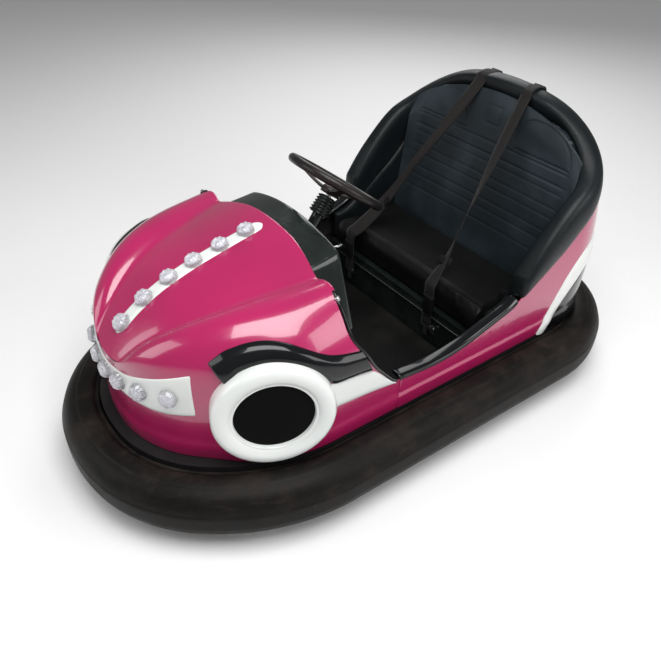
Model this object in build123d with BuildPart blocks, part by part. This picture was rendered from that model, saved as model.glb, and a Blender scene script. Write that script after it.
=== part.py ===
from build123d import *
import math
import os

# Two-seat bumper car: a moulded body on a steel frame, ringed by a pneumatic bumper tyre.
# Millimetres. +Z is up, the nose points to -Y and the driver's left is +X.
# The origin is on the ground under the middle of the bumper tyre.

os.makedirs("parts", exist_ok=True)

# ---------------------------------------------------------------- overall sizes
CAR_LENGTH = 2022.0
CAR_WIDTH = 1160.0
HALF_LENGTH = CAR_LENGTH / 2
HALF_WIDTH = CAR_WIDTH / 2

# bumper tyre
TYRE_BOTTOM = 73.0
TYRE_TOP = 230.0
TYRE_DEPTH = 130.0
TYRE_SHOULDER = 58.0
TYRE_FOOT_EDGE = 24.0

# rim band that carries the tyre and the body
SEAT_GAP = 0.3
BAND_WALL = 5.0
BAND_BOTTOM = 96.0
BAND_TOP = 229.0
BAND_LEDGE = 26.0

# moulded body
BODY_WALL = 6.0
BODY_BOTTOM = BAND_TOP
BODY_TOP = 1000.0
BODY_FOOT_HALF = 448.0
BODY_WAIST_HALF = 466.0
BODY_TOP_HALF = 452.0
BODY_WAIST = 430.0
BODY_NOSE = -845.0
BODY_TAIL = 838.0
TAIL_RAKE = 133.0
SEAM_Y = -142.0
SKIN = 3.0

# frame and floor
FRAME_TUBE = 40.0
FRAME_BOTTOM = 100.0
FRAME_TOP = FRAME_BOTTOM + FRAME_TUBE
RAIL_X = 235.0
FLOOR_SHEET = 4.0
MAT_THICKNESS = 6.0
FLOOR_TOP = FRAME_TOP + FLOOR_SHEET
MAT_TOP = FLOOR_TOP + MAT_THICKNESS
BULKHEAD_Y = -400.0
SEAT_FRONT_Y = 240.0


def mirrored(points):
    """The +X half of an outline, nose to tail, followed by its mirror image."""
    return points + [(-x, y) for x, y in reversed(points)]


def rounded_outline(points, radii):
    """A closed outline of straight runs joined by tangent arcs, given by its +X corners."""
    corners = mirrored(points)
    rounds = radii + radii[::-1]
    with BuildLine(mode=Mode.PRIVATE) as line:
        FilletPolyline(*corners, radius=rounds, close=True)
    return line.wire()


# corners of the bumper tyre's outer edge and the radius that rounds each
TYRE_CORNERS = [
    (266.0, -HALF_LENGTH),
    (HALF_WIDTH, -HALF_LENGTH + 387.0),
    (HALF_WIDTH, HALF_LENGTH - 261.0),
    (330.0, HALF_LENGTH),
]
TYRE_RADII = [515.0, 695.0, 480.0, 385.0]


def tyre_face(inset):
    """The whole plan of the bumper tyre, drawn in by an inset."""
    with BuildSketch(mode=Mode.PRIVATE) as face:
        with BuildLine():
            add(rounded_outline(TYRE_CORNERS, TYRE_RADII))
        make_face()
        if inset:
            offset(amount=-inset)
    return face.sketch


# ---------------------------------------------------------------- bumper tyre
with BuildPart() as bumper_tyre:
    with BuildSketch(Plane.XY.offset(TYRE_BOTTOM)):
        add(tyre_face(0))
        add(tyre_face(TYRE_DEPTH), mode=Mode.SUBTRACT)
    extrude(amount=TYRE_TOP - TYRE_BOTTOM)
    fillet(bumper_tyre.edges().group_by(Axis.Z)[-1], TYRE_SHOULDER)
    fillet(bumper_tyre.edges().group_by(Axis.Z)[0], TYRE_FOOT_EDGE)
bumper_tyre.part.label = "bumper_tyre"
export_step(bumper_tyre.part, "parts/bumper_tyre.step")

# ---------------------------------------------------------------- body form
# plan sections of the body walls
PLAN_LEVELS = [
    # height, half width, nose y, tail y, tail corner radius
    (BODY_BOTTOM, BODY_FOOT_HALF, BODY_NOSE, BODY_TAIL, 220.0),
    (BODY_WAIST, BODY_WAIST_HALF, BODY_NOSE - 8, BODY_TAIL + 6, 210.0),
    (BODY_TOP, BODY_TOP_HALF, BODY_NOSE + 60, BODY_TAIL - TAIL_RAKE, 300.0),
]
NOSE_RADII = [360.0, 420.0]
# how far a corner of radius 1 is cut back when two arcs of an eighth turn share it
CORNER_CUT = 1 - math.tan(math.radians(22.5))
# roof sections, nose last: y, middle height, valley x and z, crest x and z,
# knee x and z, foot x
ROOF_SECTIONS = [
    (-100.0, 772.0, 285.0, 706.0, 352.0, 708.0, 408.0, 668.0, 486.0),
    (-300.0, 735.0, 280.0, 684.0, 344.0, 693.0, 402.0, 655.0, 480.0),
    (-477.0, 695.0, 236.0, 662.0, 298.0, 680.0, 376.0, 652.0, 476.0),
    (-600.0, 662.0, 205.0, 638.0, 262.0, 664.0, 346.0, 628.0, 466.0),
    (-700.0, 622.0, 165.0, 606.0, 226.0, 634.0, 300.0, 590.0, 440.0),
    (-790.0, 560.0, 112.0, 552.0, 168.0, 578.0, 226.0, 536.0, 380.0),
    (-870.0, 470.0, 70.0, 465.0, 110.0, 482.0, 150.0, 456.0, 300.0),
]


def plan_face(half, nose, tail, tail_radius, inset):
    """One level plan section of the body, drawn in by an inset."""
    cut = tail_radius * CORNER_CUT
    points = [
        (half * 0.36, nose),
        (half, nose + 300.0),
        (half, tail - cut),
        (half - cut, tail),
    ]
    with BuildSketch(mode=Mode.PRIVATE) as face:
        with BuildLine():
            add(rounded_outline(points, NOSE_RADII + [tail_radius * 0.99] * 2))
        make_face()
        if inset:
            offset(amount=-inset)
    return face.sketch


def plan_solid(inset):
    """The upright body walls, drawn in by an inset."""
    with BuildPart(mode=Mode.PRIVATE) as walls:
        for height, half, nose, tail, tail_radius in PLAN_LEVELS:
            level = height - (2.0 if height == BODY_BOTTOM and inset > 0 else 0.0)
            with BuildSketch(Plane.XY.offset(level)):
                add(plan_face(half, nose, tail, tail_radius, inset))
        loft()
    return walls.part


def roof_solid(inset):
    """The three-lobed bonnet as one loft through upright sections, drawn in by an inset."""
    with BuildPart(mode=Mode.PRIVATE) as roof:
        for y, mid_z, valley_x, valley_z, crest_x, crest_z, knee_x, knee_z, foot_x in ROOF_SECTIONS:
            with BuildSketch(Plane.XZ.offset(-y)):
                with BuildLine():
                    low = BODY_BOTTOM - 10.0
                    valley = (valley_x - inset * 0.2, valley_z - inset)
                    crest = (crest_x - inset * 0.6, crest_z - inset)
                    knee = (knee_x - inset, knee_z - inset * 0.9)
                    foot = (foot_x - inset, BODY_WAIST)
                    middle = (0.0, mid_z - inset)
                    ThreePointArc((-valley[0], valley[1]), middle, valley)
                    for side in (1, -1):
                        at_knee = (side * knee[0], knee[1])
                        at_crest = (side * crest[0], crest[1])
                        lobe = ThreePointArc((side * valley[0], valley[1]), at_crest, at_knee)
                        TangentArc(at_knee, (side * foot[0], foot[1]), tangent=lobe % 1)
                        Line((side * foot[0], foot[1]), (side * foot[0], low))
                    Line((foot[0], low), (-foot[0], low))
                make_face()
        loft()
    return roof.part


def body_form(inset):
    """The closed body under its bonnet, drawn in by an inset (negative stands proud)."""
    front = plan_solid(inset) & roof_solid(inset)
    with BuildPart(mode=Mode.PRIVATE) as rear:
        add(plan_solid(inset))
        split(bisect_by=Plane.XZ.offset(-SEAM_Y), keep=Keep.BOTTOM)
    with BuildPart(mode=Mode.PRIVATE) as nose:
        add(front)
        split(bisect_by=Plane.XZ.offset(-SEAM_Y), keep=Keep.TOP)
    return nose.part, rear.part


nose_form, tail_form = body_form(0)
nose_hollow, tail_hollow = body_form(BODY_WALL)
nose_proud, tail_proud = body_form(-SKIN)
bonnet_room = plan_solid(BODY_WALL + SEAT_GAP) & roof_solid(BODY_WALL + SEAT_GAP)

# the edge of the shell seen from the side: y, z and the radius that rounds each corner
SHELL_EDGE = [
    (-296.0, 1100.0, 5.0),
    (-290.0, 730.0, 30.0),
    (-322.0, 680.0, 60.0),
    (-322.0, 590.0, 90.0),
    (-245.0, 460.0, 200.0),
    (-160.0, 358.0, 70.0),
    (60.0, 338.0, 500.0),
    (318.0, 425.0, 120.0),
    (520.0, 572.0, 500.0),
    (650.0, 702.0, 400.0),
    (735.0, 846.0, 120.0),
    (790.0, 880.0, 60.0),
    (900.0, 884.0, 5.0),
    (900.0, 1100.0, 5.0),
]
PAD_FOOT_Y = 345.0
# the tail's two arches seen from behind: half width and rise above the arches' foot
ARCH_FOOT = 640.0
SHELL_ARCH = (500.0, 230.0)
PAD_ARCH = (505.0, 337.0)
ARCH_FRONT_Y = 420.0
# the rim pad's top seen from the side, tail end first: y, z and the radius that rounds each corner
PAD_TOP = [
    (900.0, 978.0, 5.0),
    (700.0, 977.5, 24.0),
    (640.0, 850.0, 120.0),
    (430.0, 690.0, 500.0),
    (236.0, 500.0, 14.0),
]
PAD_BULGE = 15.0
PAD_WIDTH = 84.0


def side_prism(points, near, far, inset=0.0):
    """A rounded side-view outline, drawn in by an inset, pushed through from one X to another."""
    with BuildPart(mode=Mode.PRIVATE) as prism:
        with BuildSketch(Plane.YZ.offset(near)):
            with BuildLine():
                corners = [(y, z) for y, z, _ in points]
                FilletPolyline(*corners, radius=[r for _, _, r in points], close=True)
            make_face()
            if inset:
                offset(amount=-inset)
        extrude(amount=far - near)
    return prism.part


opening = side_prism(SHELL_EDGE, -HALF_WIDTH, HALF_WIDTH)


def edge_strip(depth):
    """The region along the shell's side-view edge, as deep as a trim stands into the opening."""
    return opening - side_prism(SHELL_EDGE, -HALF_WIDTH, HALF_WIDTH, depth)


def arch_prism(half_width, rise):
    """Everything under an arch seen from behind, over the length of the tail."""
    with BuildPart(mode=Mode.PRIVATE) as arch:
        with BuildSketch(Plane.XZ.offset(-ARCH_FRONT_Y)):
            with Locations((0, ARCH_FOOT)):
                Ellipse(half_width, rise)
                Rectangle(2 * half_width, ARCH_FOOT, align=(Align.CENTER, Align.MAX))
        extrude(amount=-HALF_LENGTH)
    return arch.part


with BuildPart(mode=Mode.PRIVATE) as over_arch:
    with Locations((0, ARCH_FRONT_Y, ARCH_FOOT)):
        Box(CAR_WIDTH, HALF_LENGTH, BODY_TOP, align=(Align.CENTER, Align.MIN, Align.MIN))
    add(arch_prism(*SHELL_ARCH), mode=Mode.SUBTRACT)
rear_opening = opening + over_arch.part


def save(shape, name):
    """Name one sub-part and write its STEP file."""
    shape.label = name
    export_step(shape, f"parts/{name}.step")


# ---------------------------------------------------------------- shells and rim pad
with BuildPart() as front_cowl:
    add(nose_form)
    add(nose_hollow, mode=Mode.SUBTRACT)
    add(opening, mode=Mode.SUBTRACT)
with BuildPart() as rear_body:
    add(tail_form)
    add(tail_hollow, mode=Mode.SUBTRACT)
    add(rear_opening, mode=Mode.SUBTRACT)
(start_y, start_z, _), (end_y, end_z, _) = SHELL_EDGE[7:9]
pad_foot_z = start_z + (PAD_FOOT_Y - start_y) * (end_z - start_z) / (end_y - start_y)
pad_outline = [(PAD_FOOT_Y, pad_foot_z, 10.0), (900.0, pad_foot_z, 5.0)] + PAD_TOP
with BuildPart(mode=Mode.PRIVATE) as pad_head:
    add(arch_prism(*PAD_ARCH))
    with Locations((0, ARCH_FRONT_Y, 0)):
        Box(CAR_WIDTH, HALF_LENGTH, BODY_TOP, align=(Align.CENTER, Align.MAX, Align.MIN))
with BuildPart() as rim_pad:
    add(plan_solid(-PAD_BULGE))
    add(plan_solid(PAD_WIDTH - PAD_BULGE), mode=Mode.SUBTRACT)
    add(side_prism(pad_outline, -HALF_WIDTH, HALF_WIDTH), mode=Mode.INTERSECT)
    add(rear_opening, mode=Mode.INTERSECT)
    add(pad_head.part, mode=Mode.INTERSECT)

# ---------------------------------------------------------------- rim band
band_inset = TYRE_DEPTH + SEAT_GAP
with BuildPart() as rim_band:
    with BuildSketch(Plane.XY.offset(BAND_BOTTOM)):
        add(tyre_face(band_inset))
        add(tyre_face(band_inset + BAND_WALL), mode=Mode.SUBTRACT)
    extrude(amount=BAND_TOP - BAND_BOTTOM)
    with BuildSketch(Plane.XY.offset(BAND_TOP - BAND_WALL)):
        add(tyre_face(band_inset))
        add(plan_face(*PLAN_LEVELS[0][1:], BAND_LEDGE), mode=Mode.SUBTRACT)
    extrude(amount=BAND_WALL)

# ---------------------------------------------------------------- frame
CROSS_Y = [-670.0, -440.0, 60.0, 290.0, 700.0]
with BuildPart(mode=Mode.PRIVATE) as inside_band:
    with BuildSketch(Plane.XY.offset(FRAME_BOTTOM)):
        add(tyre_face(band_inset + BAND_WALL))
    extrude(amount=FRAME_TUBE)
inner_run = 2 * RAIL_X - FRAME_TUBE - 2 * SEAT_GAP
outer_start = RAIL_X + FRAME_TUBE / 2 + SEAT_GAP
outer_run = HALF_WIDTH - outer_start
with BuildPart() as chassis_frame:
    for side in (1, -1):
        with Locations((side * RAIL_X, 0, FRAME_BOTTOM)):
            Box(FRAME_TUBE, CAR_LENGTH, FRAME_TUBE, align=(Align.CENTER, Align.CENTER, Align.MIN))
    for cross_y in CROSS_Y:
        with Locations((0, cross_y, FRAME_BOTTOM)):
            Box(inner_run, FRAME_TUBE, FRAME_TUBE, align=(Align.CENTER, Align.CENTER, Align.MIN))
        for side in (1, -1):
            with Locations((side * (outer_start + outer_run / 2), cross_y, FRAME_BOTTOM)):
                Box(outer_run, FRAME_TUBE, FRAME_TUBE, align=(Align.CENTER, Align.CENTER, Align.MIN))
    add(inside_band.part, mode=Mode.INTERSECT)

# ---------------------------------------------------------------- floor, mat and bulkhead
FLOOR_HALF = 416.0
with BuildPart() as floor_pan:
    with BuildSketch(Plane.XY.offset(FRAME_TOP)):
        with Locations((0, (BULKHEAD_Y + SEAT_FRONT_Y) / 2)):
            Rectangle(2 * FLOOR_HALF, SEAT_FRONT_Y - BULKHEAD_Y)
    extrude(amount=FLOOR_SHEET)
with BuildPart() as floor_mat:
    with BuildSketch(Plane.XY.offset(FLOOR_TOP)):
        with Locations((0, (BULKHEAD_Y + SEAT_FRONT_Y) / 2)):
            RectangleRounded(2 * FLOOR_HALF - 12, SEAT_FRONT_Y - BULKHEAD_Y - 12, 20)
    extrude(amount=MAT_THICKNESS)
with BuildPart() as bulkhead:
    with BuildSketch(Plane.XZ.offset(-BULKHEAD_Y)):
        with Locations((0, 500)):
            Rectangle(1200, 720)
    extrude(amount=BODY_WALL)
    add(bonnet_room, mode=Mode.INTERSECT)
    with Locations((0, BULKHEAD_Y, FRAME_TOP + 50)):
        Box(1200, 40, 2 * 50 + 62, mode=Mode.SUBTRACT)

# ---------------------------------------------------------------- seat
CUSHION_HALF = 398.0
BENCH_BASE = 292.0
BENCH_TOP = 395.0
SEAT_SHEET = 6.0
BENCH_BACK = 553.0
with BuildPart() as seat_box:
    with Locations((0, SEAT_FRONT_Y, FRAME_TOP)):
        Box(2 * FLOOR_HALF, SEAT_SHEET, BENCH_BASE - FRAME_TOP, align=(Align.CENTER, Align.MIN, Align.MIN))
    with Locations((0, SEAT_FRONT_Y, BENCH_BASE - SEAT_SHEET)):
        Box(2 * FLOOR_HALF, 400.0, SEAT_SHEET, align=(Align.CENTER, Align.MIN, Align.MIN))
with BuildPart() as seat_base_cushion:
    with Locations((0, SEAT_FRONT_Y - 12, BENCH_BASE)):
        Box(
            2 * CUSHION_HALF,
            BENCH_BACK - SEAT_FRONT_Y + 12,
            BENCH_TOP - BENCH_BASE,
            align=(Align.CENTER, Align.MIN, Align.MIN),
        )
    fillet(seat_base_cushion.edges().group_by(Axis.Y)[0].group_by(Axis.Z)[-1], 40.0)

BACK_FACE_Y = 556.0
BACK_TILT = 7.4
BACK_HALF = 400.0
BACK_HEIGHT = 700.0
BACK_ARCH = (470.0, 257.0)
BACK_THICK = 44.0
tilt = math.radians(BACK_TILT)
back_plane = Plane(
    origin=(0, BACK_FACE_Y, BENCH_BASE + 7), x_dir=(1, 0, 0), z_dir=(0, -math.cos(tilt), math.sin(tilt))
)
with BuildPart() as seat_back_cushion:
    with BuildSketch(back_plane):
        Rectangle(2 * BACK_HALF, BACK_HEIGHT, align=(Align.CENTER, Align.MIN))
    extrude(amount=-BACK_THICK)
    add(arch_prism(*BACK_ARCH), mode=Mode.INTERSECT)
    add(rim_pad.part, mode=Mode.SUBTRACT)

LINER_INNER = BACK_HALF + SEAT_GAP
LINER_THICK = 36.0
LINER_OUTLINE = [
    (SEAT_FRONT_Y + 8, BENCH_BASE + SEAT_GAP, 5.0),
    (620.0, BENCH_BASE + SEAT_GAP, 5.0),
    (620.0, 700.0, 5.0),
    (SEAT_FRONT_Y + 8, 700.0, 5.0),
]
with BuildPart() as side_liners:
    add(side_prism(LINER_OUTLINE, LINER_INNER, LINER_INNER + LINER_THICK))
    add(opening, mode=Mode.SUBTRACT)
    mirror(about=Plane.YZ)

# ---------------------------------------------------------------- dash
DASH_FRONT = -306.0
DASH_REAR = -205.0
DASH_HALF = 312.0
DASH_TOP_HALF = 215.0
DASH_BASE = 480.0
DASH_TOP = 764.0
DASH_ROUND = 120.0
DASH_WALL = 5.0
COLUMN_TILT = 36.3
WHEEL_CENTRE = (0.0, -53.0, 788.5)
TUBE_RADIUS = 19.0
SHAFT_RADIUS = 9.0
SHAFT_PLAY = 0.6
lean = math.radians(COLUMN_TILT)
column_axis = (0.0, math.sin(lean), math.cos(lean))
wheel_plane = Plane(origin=WHEEL_CENTRE, x_dir=(1, 0, 0), z_dir=column_axis)


def dash_arch(shrink):
    """The section of the dash cover across the car, drawn in by a wall."""
    with BuildSketch(mode=Mode.PRIVATE) as arch:
        with BuildLine():
            FilletPolyline(
                (DASH_HALF, DASH_BASE),
                (DASH_TOP_HALF, DASH_TOP),
                (-DASH_TOP_HALF, DASH_TOP),
                (-DASH_HALF, DASH_BASE),
                radius=[3.0, DASH_ROUND, DASH_ROUND, 3.0],
                close=True,
            )
        make_face()
        if shrink:
            offset(amount=-shrink)
    return arch.sketch


with BuildPart() as dash_cover:
    with BuildSketch(Plane.XZ.offset(-DASH_REAR)):
        add(dash_arch(0))
    extrude(amount=DASH_REAR - DASH_FRONT)
    with BuildSketch(Plane.XZ.offset(-DASH_REAR + DASH_WALL)):
        add(dash_arch(DASH_WALL))
    extrude(amount=DASH_REAR - DASH_FRONT, mode=Mode.SUBTRACT)
    with Locations((0, (DASH_FRONT + DASH_REAR - DASH_WALL) / 2, DASH_BASE)):
        Box(2 * DASH_HALF, DASH_REAR - DASH_FRONT - DASH_WALL, 2 * DASH_WALL, mode=Mode.SUBTRACT)
    add(bonnet_room, mode=Mode.INTERSECT)
    with BuildSketch(wheel_plane):
        Circle(TUBE_RADIUS + SEAT_GAP)
    extrude(amount=-700, mode=Mode.SUBTRACT)

# ---------------------------------------------------------------- steering
RIM_OUTER = 165.0
RIM_TUBE = 14.0
HUB_RADIUS = 32.0
HUB_DROP = 44.0
BOOT_TOP = -52.0
BOOT_PLEATS = 6
BOOT_PITCH = 10.0
BOOT_RADIUS = 31.0
TUBE_TOP = -60.0
with BuildPart() as column_tube:
    with BuildSketch(wheel_plane.offset(TUBE_TOP)):
        Circle(TUBE_RADIUS)
        Circle(SHAFT_RADIUS + SHAFT_PLAY, mode=Mode.SUBTRACT)
    extrude(amount=-600)
    split(bisect_by=Plane.XZ.offset(-BULKHEAD_Y), keep=Keep.BOTTOM)
with BuildPart() as column_boot:
    with BuildSketch(Plane.XZ):
        with BuildLine():
            outline = [(TUBE_RADIUS, BOOT_TOP)]
            for pleat in range(BOOT_PLEATS):
                outline.append((BOOT_RADIUS + pleat * 0.8 - 6, BOOT_TOP - pleat * BOOT_PITCH))
                outline.append((BOOT_RADIUS + pleat * 0.8, BOOT_TOP - (pleat + 0.5) * BOOT_PITCH))
            outline.append((BOOT_RADIUS, BOOT_TOP - BOOT_PLEATS * BOOT_PITCH))
            outline.append((TUBE_RADIUS, BOOT_TOP - BOOT_PLEATS * BOOT_PITCH))
            Polyline(*outline, close=True)
        make_face()
    revolve(axis=Axis.Z)
column_boot.part.locate(wheel_plane.location)

with BuildPart() as steering_wheel:
    with BuildSketch(Plane.XZ):
        with Locations((RIM_OUTER - RIM_TUBE, 0)):
            Circle(RIM_TUBE)
    revolve(axis=Axis.Z)
    with Locations((0, 0, -HUB_DROP)):
        Cylinder(HUB_RADIUS, 26, align=(Align.CENTER, Align.CENTER, Align.MIN))
    for turn in (90, 210, 330):
        with BuildSketch(Plane.XZ.rotated((0, 0, turn)).offset(-15)):
            with BuildLine():
                Polyline(
                    (HUB_RADIUS - 8, -HUB_DROP + 6),
                    (RIM_OUTER - RIM_TUBE - 6, -7),
                    (RIM_OUTER - RIM_TUBE - 2, 3),
                    (HUB_RADIUS - 8, -HUB_DROP + 18),
                    close=True,
                )
            make_face()
        extrude(amount=30)
steering_wheel.part.locate(wheel_plane.location)
SHAFT_LENGTH = 470.0
with BuildPart() as steering_shaft:
    with BuildSketch(wheel_plane.offset(-HUB_DROP)):
        Circle(SHAFT_RADIUS)
    extrude(amount=-SHAFT_LENGTH)

# ---------------------------------------------------------------- drive unit
DRIVE_Y = -545.0
DRIVE_RADIUS = 82.0
DRIVE_WIDTH = 56.0
RUN_GAP = 6.0
FORK_PLATE = 8.0
FORK_CROWN_Z = DRIVE_RADIUS * 2 + RUN_GAP
KINGPIN = 36.0
BRIDGE_TOP = 206.0
BRIDGE_PLATE = 10.0
AXLE_RADIUS = 11.0
PIN_PLAY = 0.3
with BuildPart() as swivel_bridge:
    with Locations((0, DRIVE_Y, FRAME_TOP)):
        Box(
            2 * RAIL_X + FRAME_TUBE,
            150,
            BRIDGE_TOP - FRAME_TOP,
            align=(Align.CENTER, Align.CENTER, Align.MIN),
        )
        Box(
            2 * RAIL_X - FRAME_TUBE,
            150,
            BRIDGE_TOP - FRAME_TOP - BRIDGE_PLATE,
            align=(Align.CENTER, Align.CENTER, Align.MIN),
            mode=Mode.SUBTRACT,
        )
    with Locations((0, DRIVE_Y, BRIDGE_TOP)):
        Cylinder(KINGPIN + PIN_PLAY, 60, mode=Mode.SUBTRACT)
fork_inner = DRIVE_WIDTH / 2 + RUN_GAP
with BuildPart() as drive_fork:
    with Locations((0, DRIVE_Y, FORK_CROWN_Z)):
        Cylinder(62, FORK_PLATE, align=(Align.CENTER, Align.CENTER, Align.MIN))
        Cylinder(
            KINGPIN,
            BRIDGE_TOP + PIN_PLAY - FORK_CROWN_Z,
            align=(Align.CENTER, Align.CENTER, Align.MIN),
        )
    for side in (1, -1):
        with BuildSketch(Plane.YZ.offset(side * (fork_inner + FORK_PLATE / 2))):
            with Locations((DRIVE_Y, DRIVE_RADIUS)):
                Circle(26)
            with Locations((DRIVE_Y, (DRIVE_RADIUS + FORK_CROWN_Z + FORK_PLATE) / 2)):
                Rectangle(52, FORK_CROWN_Z + FORK_PLATE - DRIVE_RADIUS)
        extrude(amount=FORK_PLATE / 2, both=True)
    with Locations(Location((0, DRIVE_Y, DRIVE_RADIUS), (0, 90, 0))):
        Cylinder(AXLE_RADIUS, 2 * (fork_inner + FORK_PLATE) + 16)
MOTOR_RADIUS = 74.0
MOTOR_HEIGHT = 150.0
with BuildPart() as drive_motor:
    with Locations((0, DRIVE_Y, BRIDGE_TOP + PIN_PLAY)):
        Cylinder(MOTOR_RADIUS + 14, 12, align=(Align.CENTER, Align.CENTER, Align.MIN))
        Cylinder(MOTOR_RADIUS, MOTOR_HEIGHT, align=(Align.CENTER, Align.CENTER, Align.MIN))
    fillet(drive_motor.edges().group_by(Axis.Z)[-1], 12)

# ---------------------------------------------------------------- running wheels
REAR_X = 330.0
REAR_Y = 520.0
REAR_RADIUS = 82.0
REAR_WIDTH = 52.0
WHEEL_RIM = 0.62


def road_wheel(name, x, y, radius, width):
    """One solid-tyred wheel, turning about X: its tyre and its hub."""
    place = Location((x, y, radius), (0, 90, 0))
    with BuildPart() as tyre:
        with Locations(place):
            Cylinder(radius, width)
            Cylinder(radius * WHEEL_RIM, width, mode=Mode.SUBTRACT)
        fillet(tyre.edges().filter_by(GeomType.CIRCLE).sort_by(SortBy.RADIUS)[-2:], 7)
    with BuildPart() as hub:
        with Locations(place):
            Cylinder(radius * WHEEL_RIM, width - 8)
            Cylinder(AXLE_RADIUS + PIN_PLAY, width, mode=Mode.SUBTRACT)
    save(tyre.part, name + "_tyre")
    save(hub.part, name + "_hub")


road_wheel("drive_wheel", 0, DRIVE_Y, DRIVE_RADIUS, DRIVE_WIDTH)
road_wheel("rear_wheel_left", REAR_X, REAR_Y, REAR_RADIUS, REAR_WIDTH)
road_wheel("rear_wheel_right", -REAR_X, REAR_Y, REAR_RADIUS, REAR_WIDTH)

BRACKET_PLATE = 10.0
with BuildPart() as axle_brackets:
    for side in (1, -1):
        with Locations((side * (RAIL_X + FRAME_TUBE / 2 + BRACKET_PLATE / 2), REAR_Y, 64)):
            Box(BRACKET_PLATE, 70, FRAME_TOP - 64, align=(Align.CENTER, Align.CENTER, Align.MIN))
        start = RAIL_X + FRAME_TUBE / 2 + BRACKET_PLATE
        stub = REAR_X + REAR_WIDTH / 2 + 14 - start
        with Locations(Location((side * (start + stub / 2), REAR_Y, REAR_RADIUS), (0, 90, 0))):
            Cylinder(AXLE_RADIUS, stub)

# ---------------------------------------------------------------- battery and pedal
with BuildPart() as battery_pack:
    with Locations((0, 480, FRAME_TOP)):
        Box(520, 170, 140, align=(Align.CENTER, Align.CENTER, Align.MIN))
with BuildPart() as foot_pedal:
    with BuildSketch(Plane.YZ.offset(70)):
        with BuildLine():
            Polyline(
                (-352.0, MAT_TOP),
                (-252.0, MAT_TOP),
                (-250.0, MAT_TOP + 12.0),
                (-340.0, MAT_TOP + 62.0),
                (-352.0, MAT_TOP + 60.0),
                close=True,
            )
        make_face()
    extrude(amount=80)

# ---------------------------------------------------------------- sill caps and edge trims
CAP_PROUD = 2.0
CAP_WIDTH = 45.0
CAP_HEIGHT = 14.0
CAP_FRONT = -150.0
CAP_REAR = PAD_FOOT_Y
TRIM_DEPTH = 9.0
TRIM_TOP = 688.0
with BuildPart() as sill_caps:
    add(plan_solid(-CAP_PROUD))
    add(plan_solid(CAP_WIDTH - CAP_PROUD), mode=Mode.SUBTRACT)
    add(edge_strip(CAP_HEIGHT), mode=Mode.INTERSECT)
    with Locations((0, CAP_FRONT, BODY_BOTTOM)):
        Box(
            CAR_WIDTH,
            CAP_REAR - CAP_FRONT,
            BODY_TOP,
            align=(Align.CENTER, Align.MIN, Align.MIN),
            mode=Mode.INTERSECT,
        )
    add(rim_pad.part, mode=Mode.SUBTRACT)
with BuildPart() as edge_trims:
    add(nose_proud)
    add(nose_hollow, mode=Mode.SUBTRACT)
    add(edge_strip(TRIM_DEPTH), mode=Mode.INTERSECT)
    with Locations((0, CAP_FRONT, BODY_BOTTOM)):
        Box(
            CAR_WIDTH,
            HALF_LENGTH,
            TRIM_TOP - BODY_BOTTOM,
            align=(Align.CENTER, Align.MAX, Align.MIN),
            mode=Mode.INTERSECT,
        )

# ---------------------------------------------------------------- body dressing
nose_skin = nose_proud - nose_form
tail_skin = tail_proud - tail_form

STRIP_WIDTH = 54.0
STRIP_NOSE = -812.0
STRIP_TAIL = -322.0
with BuildPart() as hood_light_strip:
    with BuildSketch(Plane.XY.offset(BODY_WAIST)):
        with Locations((0, (STRIP_NOSE + STRIP_TAIL) / 2)):
            SlotOverall(STRIP_TAIL - STRIP_NOSE, STRIP_WIDTH, rotation=90)
    extrude(amount=BODY_TOP - BODY_WAIST)
    add(nose_skin, mode=Mode.INTERSECT)

# outlines seen from the side: y, z and the radius that rounds each corner
FENDER_STRIP = [
    (-688.0, 583.0, 4.0),
    (-560.0, 664.0, 150.0),
    (-400.0, 556.0, 90.0),
    (-200.0, 527.0, 4.0),
    (-200.0, 452.0, 4.0),
    (-415.0, 468.0, 6.0),
    (-462.0, 555.0, 60.0),
    (-600.0, 590.0, 60.0),
    (-658.0, 520.0, 6.0),
]
SIDE_STRIPE = [
    (-430.0, 466.0, 4.0),
    (-230.0, 455.0, 4.0),
    (-158.0, 372.0, 3.0),
    (-152.0, 350.0, 3.0),
    (-225.0, 361.0, 40.0),
    (-430.0, 379.0, 4.0),
]
DRESSING_NEAR = 250.0


# ---------------------------------------------------------------- nose lamp panel and lamps
PANEL_EDGE = [
    # x, top z, bottom z
    (0.0, 462.0, 398.0),
    (90.0, 470.0, 392.0),
    (180.0, 498.0, 388.0),
    (290.0, 545.0, 400.0),
]
panel_upper = [(x, top) for x, top, _ in PANEL_EDGE]
panel_lower = [(x, bottom) for x, _, bottom in PANEL_EDGE]
panel_half = panel_upper + panel_lower[::-1]
panel_other = [(-x, z) for x, z in panel_half[1:-1]]
with BuildPart() as nose_light_panel:
    with BuildSketch(Plane.XZ):
        with BuildLine():
            Polyline(*panel_half, *panel_other[::-1], close=True)
        make_face()
    extrude(amount=HALF_LENGTH)
    add(nose_skin, mode=Mode.INTERSECT)


def surface_hit(form, origin, direction):
    """Where a straight line first meets a form, and the outward normal there."""
    return form.find_intersection_points(Axis(origin, direction))[0]


LAMP_RADIUS = 25.0
LAMP_HEIGHT = 20.0
LAMP_SEAT = 14.0
HOOD_LAMP_Y = [-786.0, -712.0, -632.0, -552.0, -465.0, -378.0]
NOSE_LAMPS = [
    # x, z
    (0.0, 430.0),
    (72.0, 434.0),
    (156.0, 442.0),
    (240.0, 456.0),
]


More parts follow.
